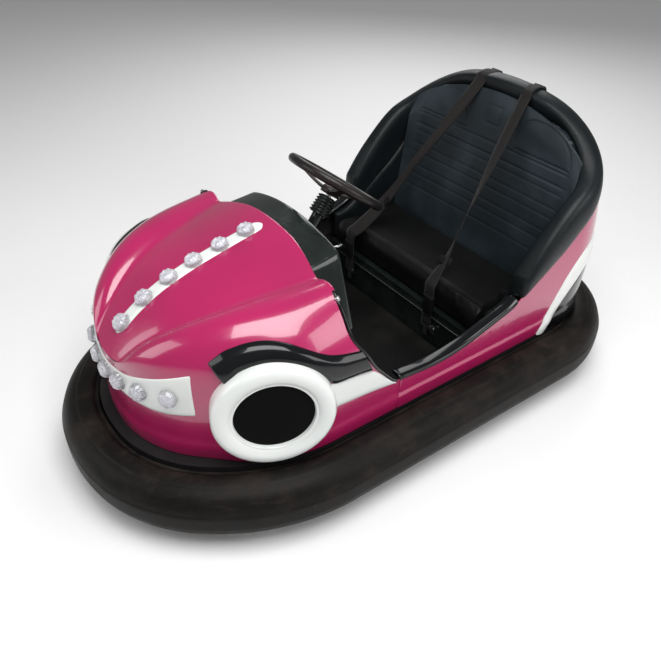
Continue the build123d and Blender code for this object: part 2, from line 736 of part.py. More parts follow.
def lamp(origin, direction):
    """One clear domed lamp, seated on the proud skin where a line meets it."""
    point, normal = surface_hit(nose_proud, origin, direction)
    place = Plane(origin=point, z_dir=normal)
    with BuildPart(mode=Mode.PRIVATE) as dome:
        with BuildSketch(Plane.XZ):
            with BuildLine():
                Polyline(
                    (0, -LAMP_SEAT),
                    (LAMP_RADIUS, -LAMP_SEAT),
                    (LAMP_RADIUS, 3),
                    (LAMP_RADIUS * 0.84, LAMP_HEIGHT * 0.62),
                    (LAMP_RADIUS * 0.5, LAMP_HEIGHT),
                    (0, LAMP_HEIGHT),
                    close=True,
                )
            make_face()
        revolve(axis=Axis.Z)
    return dome.part.moved(place.location)


with BuildPart() as hood_lamps:
    for lamp_y in HOOD_LAMP_Y:
        add(lamp((0, lamp_y, 1000), (0, 0, -1)))
    add(nose_proud, mode=Mode.SUBTRACT)
with BuildPart() as nose_lamps:
    for lamp_x, lamp_z in NOSE_LAMPS:
        for side in (1, -1) if lamp_x else (1,):
            add(lamp((side * lamp_x, -1200, lamp_z), (0, 1, 0)))
    add(nose_proud, mode=Mode.SUBTRACT)

# ---------------------------------------------------------------- false wheels on the sides
FALSE_RADIUS = 172.0
FALSE_HUB = 114.0
FALSE_PROUD = 26.0
FALSE_DEPTH = -150.0
FALSE_WHEELS = [
    # y, z, turn of the face from sideways towards the nose, in degrees
    (-562.0, 420.0, 23.5),
]


def false_wheel(form, y, z, turn, profile):
    """A round moulding whose face stands proud of the body side, cut away inside the body."""
    point, _ = surface_hit(form, (900, y, z), (-1, 0, 0))
    angle = math.radians(turn)
    place = Plane(origin=point, x_dir=(0, 0, 1), z_dir=(math.cos(angle), -math.sin(angle), 0))
    with BuildPart(mode=Mode.PRIVATE) as disc:
        with BuildSketch(Plane.XZ):
            with BuildLine():
                Polyline(*profile, close=True)
            make_face()
        revolve(axis=Axis.Z)
    with BuildPart(mode=Mode.PRIVATE) as seated:
        add(disc.part.moved(place.location))
        add(form, mode=Mode.SUBTRACT)
    return max(seated.part.solids(), key=lambda solid: solid.volume)


RING_PROFILE = [
    (FALSE_HUB, FALSE_DEPTH),
    (FALSE_RADIUS, FALSE_DEPTH),
    (FALSE_RADIUS, FALSE_PROUD - 16.0),
    (FALSE_RADIUS - 14.0, FALSE_PROUD - 3.0),
    (FALSE_RADIUS - 30.0, FALSE_PROUD),
    (FALSE_HUB + 12.0, FALSE_PROUD - 4.0),
    (FALSE_HUB, FALSE_PROUD - 14.0),
]
HUB_PROFILE = [
    (0.0, FALSE_DEPTH),
    (FALSE_HUB, FALSE_DEPTH),
    (FALSE_HUB, FALSE_PROUD - 20.0),
    (0.0, FALSE_PROUD - 17.0),
]
with BuildPart() as false_tyres:
    for y, z, turn in FALSE_WHEELS:
        add(false_wheel(nose_form, y, z, turn, RING_PROFILE))
    mirror(about=Plane.YZ)
with BuildPart() as false_hubs:
    for y, z, turn in FALSE_WHEELS:
        add(false_wheel(nose_form, y, z, turn, HUB_PROFILE))
    mirror(about=Plane.YZ)

fender_skin = side_prism(FENDER_STRIP, DRESSING_NEAR, HALF_WIDTH) & nose_skin
stripe_skin = side_prism(SIDE_STRIPE, DRESSING_NEAR, HALF_WIDTH) & nose_skin
with BuildPart() as fender_strips:
    add(fender_skin)
    add(false_tyres.part, mode=Mode.SUBTRACT)
    add(opening, mode=Mode.SUBTRACT)
    mirror(about=Plane.YZ)
with BuildPart() as side_stripes:
    add(stripe_skin)
    add(false_tyres.part, mode=Mode.SUBTRACT)
    add(fender_strips.part, mode=Mode.SUBTRACT)
    add(opening, mode=Mode.SUBTRACT)
    mirror(about=Plane.YZ)

# ---------------------------------------------------------------- tail panel and its border
TAIL_END = 900.0
BORDER_OUTER = [(493.0, 215.0, 5.0), (560.0, 420.0, 200.0), (640.0, 562.0, 60.0), (TAIL_END, 575.0, 5.0)]
BORDER_INNER = [(532.0, 215.0, 5.0), (600.0, 345.0, 120.0), (670.0, 435.0, 60.0), (TAIL_END, 455.0, 5.0)]
TAIL_FOOT = [(TAIL_END, 215.0, 5.0)]
panel_prism = side_prism(BORDER_INNER + TAIL_FOOT, -HALF_WIDTH, HALF_WIDTH)
border_prism = side_prism(BORDER_OUTER + TAIL_FOOT, -HALF_WIDTH, HALF_WIDTH) - panel_prism
tail_panel_skin = panel_prism & tail_skin
tail_border_skin = border_prism & tail_skin
with BuildPart() as tail_panel:
    add(tail_panel_skin)
with BuildPart() as tail_border:
    add(tail_border_skin)

# ---------------------------------------------------------------- seat belts
BELT_WIDTH = 44.0
BELT_THICK = 3.0
BELT_TOP_Z = 975.5
BELT_TOP_Y = 698.0
BELT_BEND_Z = 410.0
BELT_BEND_Y = 222.5
BELT_END_Z = 236.0
BELTS = [
    # x at the rim pad, x at the front of the bench
    (98.0, 182.0),
    (-98.0, -268.0),
]
with BuildPart() as seat_belts:
    for top_x, bend_x in BELTS:
        top = Vector(top_x, BELT_TOP_Y, BELT_TOP_Z)
        bend = Vector(bend_x, BELT_BEND_Y, BELT_BEND_Z)
        run = top - bend
        with BuildSketch(Plane(origin=bend, x_dir=(1, 0, -run.X / run.Z), z_dir=run)):
            Rectangle(BELT_WIDTH, BELT_THICK)
        extrude(amount=run.length)
        with Locations((bend_x, BELT_BEND_Y, BELT_END_Z)):
            Box(
                BELT_WIDTH,
                BELT_THICK,
                BELT_BEND_Z - BELT_END_Z + 1.5,
                align=(Align.CENTER, Align.CENTER, Align.MIN),
            )
    add(rim_pad.part, mode=Mode.SUBTRACT)
with BuildPart() as belt_tongues:
    for top_x, bend_x in BELTS:
        with Locations((bend_x, BELT_BEND_Y, BELT_END_Z)):
            Box(BELT_WIDTH + 8, 4, 16, align=(Align.CENTER, Align.CENTER, Align.MAX))
        with Locations((bend_x, BELT_BEND_Y, BELT_END_Z - 16)):
            Box(18, 4, 34, align=(Align.CENTER, Align.CENTER, Align.MAX))

# ---------------------------------------------------------------- hand over
rim_pad.part.label = "rim_pad"
export_step(rim_pad.part, "parts/rim_pad.step")
front_cowl.part.label = "front_cowl"
export_step(front_cowl.part, "parts/front_cowl.step")
rear_body.part.label = "rear_body"
export_step(rear_body.part, "parts/rear_body.step")
tail_panel.part.label = "tail_panel"
export_step(tail_panel.part, "parts/tail_panel.step")
tail_border.part.label = "tail_border"
export_step(tail_border.part, "parts/tail_border.step")
rim_band.part.label = "rim_band"
export_step(rim_band.part, "parts/rim_band.step")
chassis_frame.part.label = "chassis_frame"
export_step(chassis_frame.part, "parts/chassis_frame.step")
floor_pan.part.label = "floor_pan"
export_step(floor_pan.part, "parts/floor_pan.step")
floor_mat.part.label = "floor_mat"
export_step(floor_mat.part, "parts/floor_mat.step")
bulkhead.part.label = "bulkhead"
export_step(bulkhead.part, "parts/bulkhead.step")
seat_box.part.label = "seat_box"
export_step(seat_box.part, "parts/seat_box.step")
seat_base_cushion.part.label = "seat_base_cushion"
export_step(seat_base_cushion.part, "parts/seat_base_cushion.step")
seat_back_cushion.part.label = "seat_back_cushion"
export_step(seat_back_cushion.part, "parts/seat_back_cushion.step")
side_liners.part.label = "side_liners"
export_step(side_liners.part, "parts/side_liners.step")
dash_cover.part.label = "dash_cover"
export_step(dash_cover.part, "parts/dash_cover.step")
column_tube.part.label = "column_tube"
export_step(column_tube.part, "parts/column_tube.step")
column_boot.part.label = "column_boot"
export_step(column_boot.part, "parts/column_boot.step")
steering_wheel.part.label = "steering_wheel"
export_step(steering_wheel.part, "parts/steering_wheel.step")
steering_shaft.part.label = "steering_shaft"
export_step(steering_shaft.part, "parts/steering_shaft.step")
swivel_bridge.part.label = "swivel_bridge"
export_step(swivel_bridge.part, "parts/swivel_bridge.step")
drive_fork.part.label = "drive_fork"
export_step(drive_fork.part, "parts/drive_fork.step")
drive_motor.part.label = "drive_motor"
export_step(drive_motor.part, "parts/drive_motor.step")
axle_brackets.part.label = "axle_brackets"
export_step(axle_brackets.part, "parts/axle_brackets.step")
battery_pack.part.label = "battery_pack"
export_step(battery_pack.part, "parts/battery_pack.step")
foot_pedal.part.label = "foot_pedal"
export_step(foot_pedal.part, "parts/foot_pedal.step")
hood_light_strip.part.label = "hood_light_strip"
export_step(hood_light_strip.part, "parts/hood_light_strip.step")
fender_strips.part.label = "fender_strips"
export_step(fender_strips.part, "parts/fender_strips.step")
side_stripes.part.label = "side_stripes"
export_step(side_stripes.part, "parts/side_stripes.step")
nose_light_panel.part.label = "nose_light_panel"
export_step(nose_light_panel.part, "parts/nose_light_panel.step")
hood_lamps.part.label = "hood_lamps"
export_step(hood_lamps.part, "parts/hood_lamps.step")
nose_lamps.part.label = "nose_lamps"
export_step(nose_lamps.part, "parts/nose_lamps.step")
false_tyres.part.label = "false_tyres"
export_step(false_tyres.part, "parts/false_tyres.step")
false_hubs.part.label = "false_hubs"
export_step(false_hubs.part, "parts/false_hubs.step")
sill_caps.part.label = "sill_caps"
export_step(sill_caps.part, "parts/sill_caps.step")
edge_trims.part.label = "edge_trims"
export_step(edge_trims.part, "parts/edge_trims.step")
seat_belts.part.label = "seat_belts"
export_step(seat_belts.part, "parts/seat_belts.step")
belt_tongues.part.label = "belt_tongues"
export_step(belt_tongues.part, "parts/belt_tongues.step")
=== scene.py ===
import math

import bmesh
import bpy
import numpy as np
from bpy.props import FloatProperty, FloatVectorProperty, PointerProperty
from mathutils import Matrix, Vector
from mathutils.bvhtree import BVHTree


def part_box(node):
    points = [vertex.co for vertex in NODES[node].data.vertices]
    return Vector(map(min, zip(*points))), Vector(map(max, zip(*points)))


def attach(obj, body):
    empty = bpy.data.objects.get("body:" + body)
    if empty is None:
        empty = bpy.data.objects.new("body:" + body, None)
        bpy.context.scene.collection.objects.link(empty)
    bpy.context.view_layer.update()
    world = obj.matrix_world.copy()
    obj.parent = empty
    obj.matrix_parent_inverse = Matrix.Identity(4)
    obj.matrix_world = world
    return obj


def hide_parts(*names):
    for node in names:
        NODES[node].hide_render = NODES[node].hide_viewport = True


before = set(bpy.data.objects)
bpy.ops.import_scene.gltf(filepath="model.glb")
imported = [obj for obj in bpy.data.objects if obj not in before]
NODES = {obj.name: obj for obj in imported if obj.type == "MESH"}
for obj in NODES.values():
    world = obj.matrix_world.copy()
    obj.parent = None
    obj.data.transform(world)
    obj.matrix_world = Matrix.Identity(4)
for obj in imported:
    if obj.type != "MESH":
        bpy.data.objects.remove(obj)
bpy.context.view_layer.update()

bl_info = {
    "name": "Fairground bumper car",
    "version": (1, 0, 0),
    "blender": (4, 5, 0),
    "location": "View3D > Sidebar > Bumper Car",
    "description": "Builds the finish, padding and trim of a two-seat bumper car round its frame",
    "category": "Add Mesh",
}

MM = 0.001
SIDES = (1, -1)


# ---------------------------------------------------------------- shader expressions
class Wire:
    """One output socket of a node tree; Python arithmetic on it adds Math nodes."""

    def __init__(self, finish, socket):
        self.finish = finish
        self.socket = socket

    def _math(self, operation, first, second=0.0):
        return self.finish.add("ShaderNodeMath", {"operation": operation}, {0: first, 1: second}).out(0)

    def __add__(self, other):
        return self._math("ADD", self, other)

    __radd__ = __add__

    def __sub__(self, other):
        return self._math("SUBTRACT", self, other)

    def __rsub__(self, other):
        return self._math("SUBTRACT", other, self)

    def __mul__(self, other):
        return self._math("MULTIPLY", self, other)

    __rmul__ = __mul__

    def wave(self):
        return self._math("SINE", self)

    def step(self, low, high):
        """0 below low, 1 above high, eased between."""
        settings = {"interpolation_type": "SMOOTHSTEP"}
        sockets = {"Value": self, "From Min": low, "From Max": high}
        return self.finish.add("ShaderNodeMapRange", settings, sockets).out("Result")


class Node:
    """A shader node and its outputs as wires."""

    def __init__(self, finish, node):
        self.finish = finish
        self.node = node

    def out(self, name):
        return Wire(self.finish, self.node.outputs[name])


class Finish:
    """A material under construction on one Principled shader."""

    def __init__(self, name):
        self.material = bpy.data.materials.new(name)
        self.material.use_nodes = True
        self.tree = self.material.node_tree
        self.shader = next(n for n in self.tree.nodes if n.type == "BSDF_PRINCIPLED")
        self.place = self.add("ShaderNodeTexCoord").out("Object")

    def add(self, kind, settings=None, sockets=None):
        """A new node: its settings first, then the values or links of its sockets."""
        node = self.tree.nodes.new(kind)
        for name, value in (settings or {}).items():
            setattr(node, name, value)
        for name, value in (sockets or {}).items():
            if isinstance(value, Wire):
                self.tree.links.new(value.socket, node.inputs[name])
            else:
                node.inputs[name].default_value = value
        return Node(self, node)

    def noise(self, scale, detail=3.0, place=None, roughness=0.55):
        sockets = {"Vector": place or self.place, "Scale": scale, "Detail": detail, "Roughness": roughness}
        return self.add("ShaderNodeTexNoise", {}, sockets).out("Fac")

    def cells(self, scale, feature="F1", place=None):
        sockets = {"Vector": place or self.place, "Scale": scale}
        return self.add("ShaderNodeTexVoronoi", {"feature": feature}, sockets).out("Distance")

    def stretched(self, x, y, z):
        """The object's coordinates scaled along each axis."""
        settings = {"operation": "MULTIPLY"}
        return self.add("ShaderNodeVectorMath", settings, {0: self.place, 1: (x, y, z)}).out("Vector")

    def axes(self):
        split = self.add("ShaderNodeSeparateXYZ", {}, {0: self.place})
        return split.out("X"), split.out("Y"), split.out("Z")

    def blend(self, amount, first, second):
        """One colour going to another."""
        settings = {"data_type": "RGBA"}
        colours = {6: self._rgba(first), 7: self._rgba(second), 0: amount}
        return self.add("ShaderNodeMix", settings, colours).out(2)

    @staticmethod
    def _rgba(colour):
        return colour if isinstance(colour, Wire) else (*colour[:3], 1.0)

    def set(self, **values):
        """Values or wires for the shader's sockets, named with underscores."""
        for name, value in values.items():
            socket = self.shader.inputs[name.replace("_", " ")]
            if isinstance(value, Wire):
                self.tree.links.new(value.socket, socket)
            elif name.endswith("Color") or name.endswith("Tint"):
                socket.default_value = (*value[:3], 1.0)
            else:
                socket.default_value = value

    def bump(self, height, distance, strength=1.0):
        sockets = {"Height": height, "Distance": distance, "Strength": strength}
        self.set(Normal=self.add("ShaderNodeBump", {}, sockets).out("Normal"))


# ---------------------------------------------------------------- finishes
def paint(name, colour, deep, coat, roughness=0.22, specular=0.5):
    """Glossy gel coat: a little uneven in tone, with a faint ripple and dust low down."""
    finish = Finish(name)
    drift = finish.noise(3.0, 2.0).step(0.3, 0.75)
    tone = finish.blend(drift, colour, deep)
    _, _, height = finish.axes()
    low = 1 - height.step(0.23, 0.31)
    dust = low * finish.noise(14.0, 4.0).step(0.45, 0.75) * 0.16
    finish.set(
        Base_Color=finish.blend(dust, tone, (0.03, 0.02, 0.018)),
        Roughness=finish.noise(60.0, 3.0) * 0.05 + roughness,
        Coat_Weight=coat,
        Coat_Roughness=0.05,
        Specular_IOR_Level=specular,
    )
    finish.bump(finish.noise(22.0, 2.0), 0.0012, 0.25)
    return finish.material


def rubber(name, colour, dusty, share):
    """Old black rubber: brown dust, scuffs along its length and a dull grain."""
    finish = Finish(name)
    cloud = finish.noise(7.0, 6.0, roughness=0.65)
    fine = finish.noise(90.0, 5.0, roughness=0.7)
    scuff = finish.noise(26.0, 4.0, place=finish.stretched(1.0, 0.45, 3.0)).step(0.52, 0.72)
    dirt = (cloud.step(0.42, 0.7) * 0.55 + scuff * 0.35 + fine.step(0.5, 0.8) * 0.25) * share
    nick = finish.cells(31.0, place=finish.stretched(1.0, 0.35, 2.0))
    pale = (1 - nick.step(0.02, 0.06)) * finish.noise(9.0, 1.0).step(0.6, 0.72) * 0.5
    tone = finish.blend(dirt, colour, dusty)
    finish.set(
        Base_Color=finish.blend(pale, tone, (0.28, 0.25, 0.23)),
        Roughness=0.42 + dirt * 0.35 + fine * 0.08,
        Specular_IOR_Level=0.12,
    )
    finish.bump(fine + cloud * 2.0 - pale * 0.6, 0.0012, 0.5)
    return finish.material


def vinyl(name, colour, painted_sheen, roughness):
    """Padded vinyl: a pebbled grain, worn smoother and paler in patches."""
    finish = Finish(name)
    grain = finish.cells(620.0, "F1")
    pore = finish.cells(240.0, "DISTANCE_TO_EDGE").step(0.0, 0.25)
    wear_and_sheen = finish.noise(4.5, 3.0).step(0.42, 0.72)
    crease = finish.noise(14.0, 4.0, place=finish.stretched(0.6, 1.6, 1.6)).step(0.55, 0.75)
    # Base colour goes to the paler painted sheen in the worn patches and on the grain; the roughness follows
    # the real wear.
    finish.set(
        Base_Color=finish.blend(wear_and_sheen * 0.6 + grain * 0.2, colour, painted_sheen),
        Roughness=roughness - wear_and_sheen * 0.07 + crease * 0.06 + pore * 0.03,
        Specular_IOR_Level=0.16,
        Coat_Weight=0.06,
        Coat_Roughness=0.3,
    )
    finish.bump(pore * 0.6 + grain * 0.4 + crease * 1.2, 0.0006, 0.45)
    return finish.material


def moulded(name, colour, paler, roughness, grain=180.0, depth=0.0004, coat=0.0, metal=0.0, specular=0.2):
    """Moulded plastic, painted steel or castings, told apart by gloss and grain."""
    finish = Finish(name)
    speck = finish.noise(grain, 4.0)
    cloud = finish.noise(6.0, 3.0).step(0.4, 0.75)
    finish.set(
        Base_Color=finish.blend(cloud * 0.6 + speck * 0.25, colour, paler),
        Roughness=roughness + cloud * 0.08 + speck * 0.06,
        Metallic=metal,
        Specular_IOR_Level=specular,
        Coat_Weight=coat,
        Coat_Roughness=0.08,
    )
    finish.bump(speck + cloud * 2.0, depth, 0.5)
    return finish.material


def floor_covering(name):
    """Studded rubber floor mat, trodden grey."""
    finish = Finish(name)
    x, y, _ = finish.axes()
    stud = (x * 420.0).wave() * (y * 420.0).wave()
    cloud = finish.noise(5.0, 5.0).step(0.4, 0.75)
    grit = finish.noise(130.0, 5.0)
    finish.set(
        Base_Color=finish.blend(cloud * 0.7 + grit * 0.2, (0.0035, 0.0035, 0.0035), (0.016, 0.015, 0.0135)),
        Roughness=0.55 + cloud * 0.2,
        Specular_IOR_Level=0.12,
    )
    finish.bump(stud.step(0.15, 0.6) * 2.0 + grit, 0.001, 0.6)
    return finish.material


def woven(name, colour, paler):
    """Flat seat-belt webbing: fine cross ribs and a lengthwise twill."""
    finish = Finish(name)
    x, _, z = finish.axes()
    rib = (z * 2600.0 + x * 900.0).wave() * 0.5 + 0.5
    twill = (x * 3600.0).wave() * 0.5 + 0.5
    fray = finish.noise(40.0, 4.0)
    finish.set(
        Base_Color=finish.blend(rib * 0.5 + fray * 0.5, colour, paler),
        Roughness=0.62 + fray * 0.15,
        Specular_IOR_Level=0.2,
        Sheen_Weight=0.1,
        Sheen_Roughness=0.4,
    )
    finish.bump(rib + twill * 0.6, 0.0005, 0.6)
    return finish.material


def clear_lens(name, tint, solid):
    """Clear lamp plastic, a little clouded."""
    finish = Finish(name)
    cloud = finish.noise(120.0, 3.0)
    finish.set(
        Base_Color=finish.blend(cloud * 0.4, tint, (0.85, 0.84, 0.95)),
        Roughness=0.06 + cloud * 0.05,
        Transmission_Weight=solid,
        IOR=1.49,
        Coat_Weight=0.6,
        Coat_Roughness=0.03,
    )
    finish.bump(cloud, 0.0004, 0.3)
    return finish.material


FINISHES = {}


def make_finishes(look, stage):
    """All finishes of the car, from the panel's colours."""
    body = tuple(look.body_colour)
    FINISHES.update(
        body=paint("body_gel_coat", body, tuple(c * 0.86 for c in body), 0.9, look.body_roughness),
        white=paint("white_gel_coat", (0.80, 0.82, 0.80), (0.74, 0.77, 0.75), 0.6),
        black=paint("black_gel_coat", (0.0025, 0.003, 0.004), (0.004, 0.005, 0.006), 0.6, 0.2, specular=0.15),
        bumper=rubber("bumper_tyre_rubber", (0.0065, 0.006, 0.0055), tuple(look.dust_colour), 0.75),
        tread=rubber("road_tyre_rubber", (0.014, 0.014, 0.014), (0.06, 0.055, 0.05), 0.7),
        # the second colour of each vinyl is its painted sheen, paler than the vinyl itself
        vinyl=vinyl("seat_vinyl", (0.013, 0.018, 0.022), (0.038, 0.050, 0.060), 0.40),
        bench=vinyl("bench_vinyl", (0.004, 0.0042, 0.004), (0.010, 0.0105, 0.0095), 0.42),
        roll=vinyl("rim_roll_vinyl", (0.006, 0.008, 0.009), (0.013, 0.017, 0.019), 0.36),
        mat=floor_covering("floor_mat_rubber"),
        steel=moulded("black_frame_paint", (0.012, 0.012, 0.013), (0.03, 0.028, 0.027), 0.42),
        bright=moulded(
            "bright_steel", (0.5, 0.5, 0.51), (0.4, 0.4, 0.41), 0.28,
            grain=300.0, depth=0.0002, metal=1.0, specular=0.5,
        ),
        iron=moulded(
            "cast_iron", (0.09, 0.09, 0.095), (0.14, 0.13, 0.125), 0.55,
            grain=220.0, depth=0.0015, metal=0.8, specular=0.5,
        ),
        matte=moulded("black_plastic", (0.006, 0.006, 0.007), (0.013, 0.013, 0.014), 0.5, specular=0.12),
        dash=moulded(
            "dash_moulding", (0.006, 0.009, 0.008), (0.022, 0.03, 0.027), 0.16,
            grain=30.0, depth=0.0025, coat=0.7,
        ),
        hub=moulded("hub_black", (0.002, 0.002, 0.002), (0.004, 0.004, 0.004), 0.6, specular=0.06),
        wheel=moulded(
            "steering_moulding", (0.008, 0.008, 0.008), (0.03, 0.019, 0.017), 0.34,
            grain=260.0, coat=0.2,
        ),
        boot=moulded(
            "boot_rubber", (0.006, 0.008, 0.008), (0.014, 0.016, 0.016), 0.24,
            grain=200.0, depth=0.0003, coat=0.5,
        ),
        web=woven("belt_webbing", (0.006, 0.0055, 0.0055), (0.018, 0.016, 0.015)),
        # near-black inner faces of the shells: painted shade for the dark under the bonnet and inside the
        # tail
        inside=moulded(
            "shell_inside", (0.012, 0.011, 0.011), (0.03, 0.026, 0.026), 0.6,
            grain=90.0, depth=0.001,
        ),
        lens=clear_lens("lamp_lens", (0.96, 0.96, 0.985), 0.78),
        core=moulded(
            "lamp_reflector", (0.9, 0.9, 0.93), (0.62, 0.6, 0.72), 0.2,
            grain=500.0, coat=0.3, metal=0.2, specular=0.5,
        ),
        floor=moulded(
            "floor_paint", (stage.floor_tone,) * 3, (stage.floor_tone * 0.985,) * 3, 0.6,
            grain=40.0, depth=0.0001,
        ),
        red=moulded(
            "red_button", (0.5, 0.01, 0.008), (0.6, 0.02, 0.012), 0.3,
            grain=100.0, depth=0.0002, coat=0.4,
        ),
    )


# ---------------------------------------------------------------- mesh makers
# points closer than this, in metres, are one point
WELD = 0.00005


def mesh_object(name, points, faces, finish, smooth=True):
    """A mesh object from points in millimetres."""
    mesh = bpy.data.meshes.new(name)
    mesh.from_pydata([(x * MM, y * MM, z * MM) for x, y, z in points], [], faces)
    mesh.update()
    made = bpy.data.objects.new(name, mesh)
    bpy.context.scene.collection.objects.link(made)
    work = bmesh.new()
    work.from_mesh(mesh)
    bmesh.ops.remove_doubles(work, verts=work.verts, dist=WELD)
    bmesh.ops.dissolve_degenerate(work, edges=work.edges, dist=WELD)
    bmesh.ops.recalc_face_normals(work, faces=work.faces)
    for face in work.faces:
        face.smooth = smooth
    work.to_mesh(mesh)
    work.free()
    mesh.materials.append(FINISHES[finish])
    return made


def grid_faces(rows, columns, close_rows=False, close_columns=False):
    """Quads over a grid of points stored row by row."""
    faces = []
    for row in range(rows if close_rows else rows - 1):
        here, after = row * columns, (row + 1) % rows * columns
        for column in range(columns if close_columns else columns - 1):
            beside = (column + 1) % columns
            faces.append((here + column, here + beside, after + beside, after + column))
    return faces


def grid_object(name, rows, finish, close_rows=False, close_columns=False, caps=False):
    """A surface through rows of points, in millimetres, with the same count in each row."""
    columns = len(rows[0])
    points = [tuple(point) for row in rows for point in row]
    faces = grid_faces(len(rows), columns, close_rows, close_columns)
    if caps:
        faces.append(tuple(range(columns))[::-1])
        faces.append(tuple(range((len(rows) - 1) * columns, len(rows) * columns)))
    return mesh_object(name, points, faces, finish)


def subdivide(made, levels=1):
    modifier = made.modifiers.new("round", "SUBSURF")
    modifier.levels = modifier.render_levels = levels
    return made


def thicken(made, thickness, offset=-1.0):
    modifier = made.modifiers.new("wall", "SOLIDIFY")
    modifier.thickness = thickness * MM
    modifier.offset = offset
    modifier.use_rim = True
    return made


def soften_edges(made, width, segments=2, angle=40.0):
    modifier = made.modifiers.new("edge", "BEVEL")
    modifier.width = width * MM
    modifier.segments = segments
    modifier.limit_method = "ANGLE"
    modifier.angle_limit = math.radians(angle)
    return made


def revolved(name, profile, place, finish, segments=96, close=True):
    """A profile of (radius, height) points turned round an axis and set in place."""
    rows = []
    for turn in range(segments):
        angle = 2 * math.pi * turn / segments
        row = []
        for radius, height in profile:
            spot = place @ Vector((radius * math.cos(angle), radius * math.sin(angle), height))
            row.append(spot)
        rows.append(row)
    return grid_object(name, rows, finish, close_rows=True, close_columns=close)


def tube(name, path, radius, finish, sides=12, closed=False):
    """A round bar along points."""
    spine = [Vector(point) for point in path]
    rows = []
    count = len(spine)
    up = Vector((0.123, 0.2, 0.97)).normalized()
    for index, point in enumerate(spine):
        before = spine[index - 1] if index or closed else point
        after = spine[(index + 1) % count] if index < count - 1 or closed else point
        run = (after - before).normalized()
        side = run.cross(up).normalized()
        lift = side.cross(run)
        size = radius[index] if isinstance(radius, (list, tuple)) else radius
        row = []
        for turn in range(sides):
            angle = 2 * math.pi * turn / sides
            row.append(point + side * (size * math.cos(angle)) + lift * (size * math.sin(angle)))
        rows.append(row)
    return grid_object(name, rows, finish, close_rows=closed, close_columns=True, caps=not closed)


def flowing(table, steps):
    """Rows of numbers joined by an even curve, with so many steps between neighbours."""
    rows = [np.array(row, float) for row in table]
    path = []
    for index in range(len(rows) - 1):
        start, end = rows[index], rows[index + 1]
        before = rows[index - 1] if index else start * 2 - end
        after = rows[index + 2] if index + 2 < len(rows) else end * 2 - start
        for step in range(steps):
            t = step / steps
            path.append(
                0.5
                * (
                    2 * start
                    + (end - before) * t
                    + (2 * before - 5 * start + 4 * end - after) * t**2
                    + (3 * start - before - 3 * end + after) * t**3
                )
            )
    path.append(rows[-1])
    return path


def rounded_path(corners, radii, gap=8.0, closed=True):
    """Points along straight runs joined by tangent arcs."""
    count = len(corners)
    path = []
    for index, (corner, radius) in enumerate(zip(corners, radii)):
        here = Vector(corner)
        if not closed and index in (0, count - 1):
            path.append(tuple(here))
            continue
        back = (Vector(corners[index - 1]) - here).normalized()
        ahead = (Vector(corners[(index + 1) % count]) - here).normalized()
        turn = math.pi - back.angle(ahead)
        reach = radius * math.tan(turn / 2)
        centre = here + (back + ahead).normalized() * (radius / math.cos(turn / 2))
        start = here + back * reach - centre
        steps = max(2, int(radius * turn / gap))
        way = 1.0 if back.cross(ahead) < 0 else -1.0
        for step in range(steps + 1):
            angle = way * turn * step / steps
            cos, sin = math.cos(angle), math.sin(angle)
            path.append((centre.x + start.x * cos - start.y * sin, centre.y + start.x * sin + start.y * cos))
    return path


def evened(path, gap, closed=True):
    """The same path with points at even spacing."""
    points = np.array(path + [path[0]] if closed else path, float)
    steps = np.linalg.norm(np.diff(points, axis=0), axis=1)
    along = np.concatenate([[0.0], np.cumsum(steps)])
    count = max(3, int(round(along[-1] / gap)))
    marks = np.linspace(0.0, along[-1], count + 1)
    spread = np.stack([np.interp(marks, along, points[:, axis]) for axis in range(points.shape[1])], axis=1)
    return spread[:-1] if closed else spread


def side_path(table):
    """Points along a table of y, z and corner radius, rounded at its corners."""
    return np.array(rounded_path([row[:2] for row in table], [row[2] for row in table], 5.0, False))


def facing_place(facing, spot):
    """The matrix that turns upward to a direction and stands at a spot."""
    place = facing.to_track_quat("Z", "Y").to_matrix().to_4x4()
    place.translation = spot
    return place


def settle(made, body, slot, *nodes):
    """Ride on a body, take a slot's name and stand for the frame's nodes."""
    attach(made, body)
    if nodes:
        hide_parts(*nodes)
    return made


# ---------------------------------------------------------------- the body's form
WALL_BOTTOM, WALL_WAIST, WALL_TOP = 229.0, 430.0, 1000.0
# at the bottom, the waist and the top: half width, nose y, tail y, tail corner radius
WALL_LEVELS = [
    (448.0, -845.0, 838.0, 220.0),
    (466.0, -853.0, 844.0, 210.0),
    (452.0, -785.0, 705.0, 300.0),
]
# bonnet sections, cockpit first: y, middle height, valley x and z, crest x and z, knee x and z, foot x
BONNET = [
    (0.0, 790.0, 288.0, 720.0, 356.0, 716.0, 412.0, 675.0, 490.0),
    (-100.0, 772.0, 285.0, 706.0, 352.0, 708.0, 408.0, 668.0, 486.0),
    (-300.0, 735.0, 280.0, 684.0, 344.0, 693.0, 402.0, 655.0, 480.0),
    (-477.0, 695.0, 236.0, 662.0, 298.0, 680.0, 376.0, 652.0, 476.0),
    (-600.0, 662.0, 205.0, 638.0, 262.0, 664.0, 346.0, 628.0, 466.0),
    (-700.0, 622.0, 165.0, 606.0, 226.0, 634.0, 300.0, 590.0, 440.0),
    (-790.0, 560.0, 112.0, 552.0, 168.0, 578.0, 226.0, 536.0, 380.0),
    (-870.0, 470.0, 70.0, 465.0, 110.0, 482.0, 150.0, 456.0, 300.0),
]
# the shell's edge seen from the side: y, z and corner radius
SHELL_EDGE = [
    (-296.0, 1100.0, 5.0),
    (-290.0, 730.0, 30.0),
    (-322.0, 680.0, 60.0),
    (-322.0, 590.0, 90.0),
    (-245.0, 460.0, 200.0),
    (-160.0, 358.0, 70.0),
    (60.0, 338.0, 500.0),
    (318.0, 425.0, 120.0),
    (520.0, 572.0, 500.0),
    (650.0, 702.0, 400.0),
    (735.0, 846.0, 120.0),
    (790.0, 880.0, 60.0),
    (900.0, 884.0, 5.0),
]
SEAM = -142.0
CREASE_Z = 287.0
CREASE_STEP = 5.0
CREASE_SOFT = 9.0
SHELL_ARCH = (500.0, 230.0)
ARCH_FOOT = 640.0

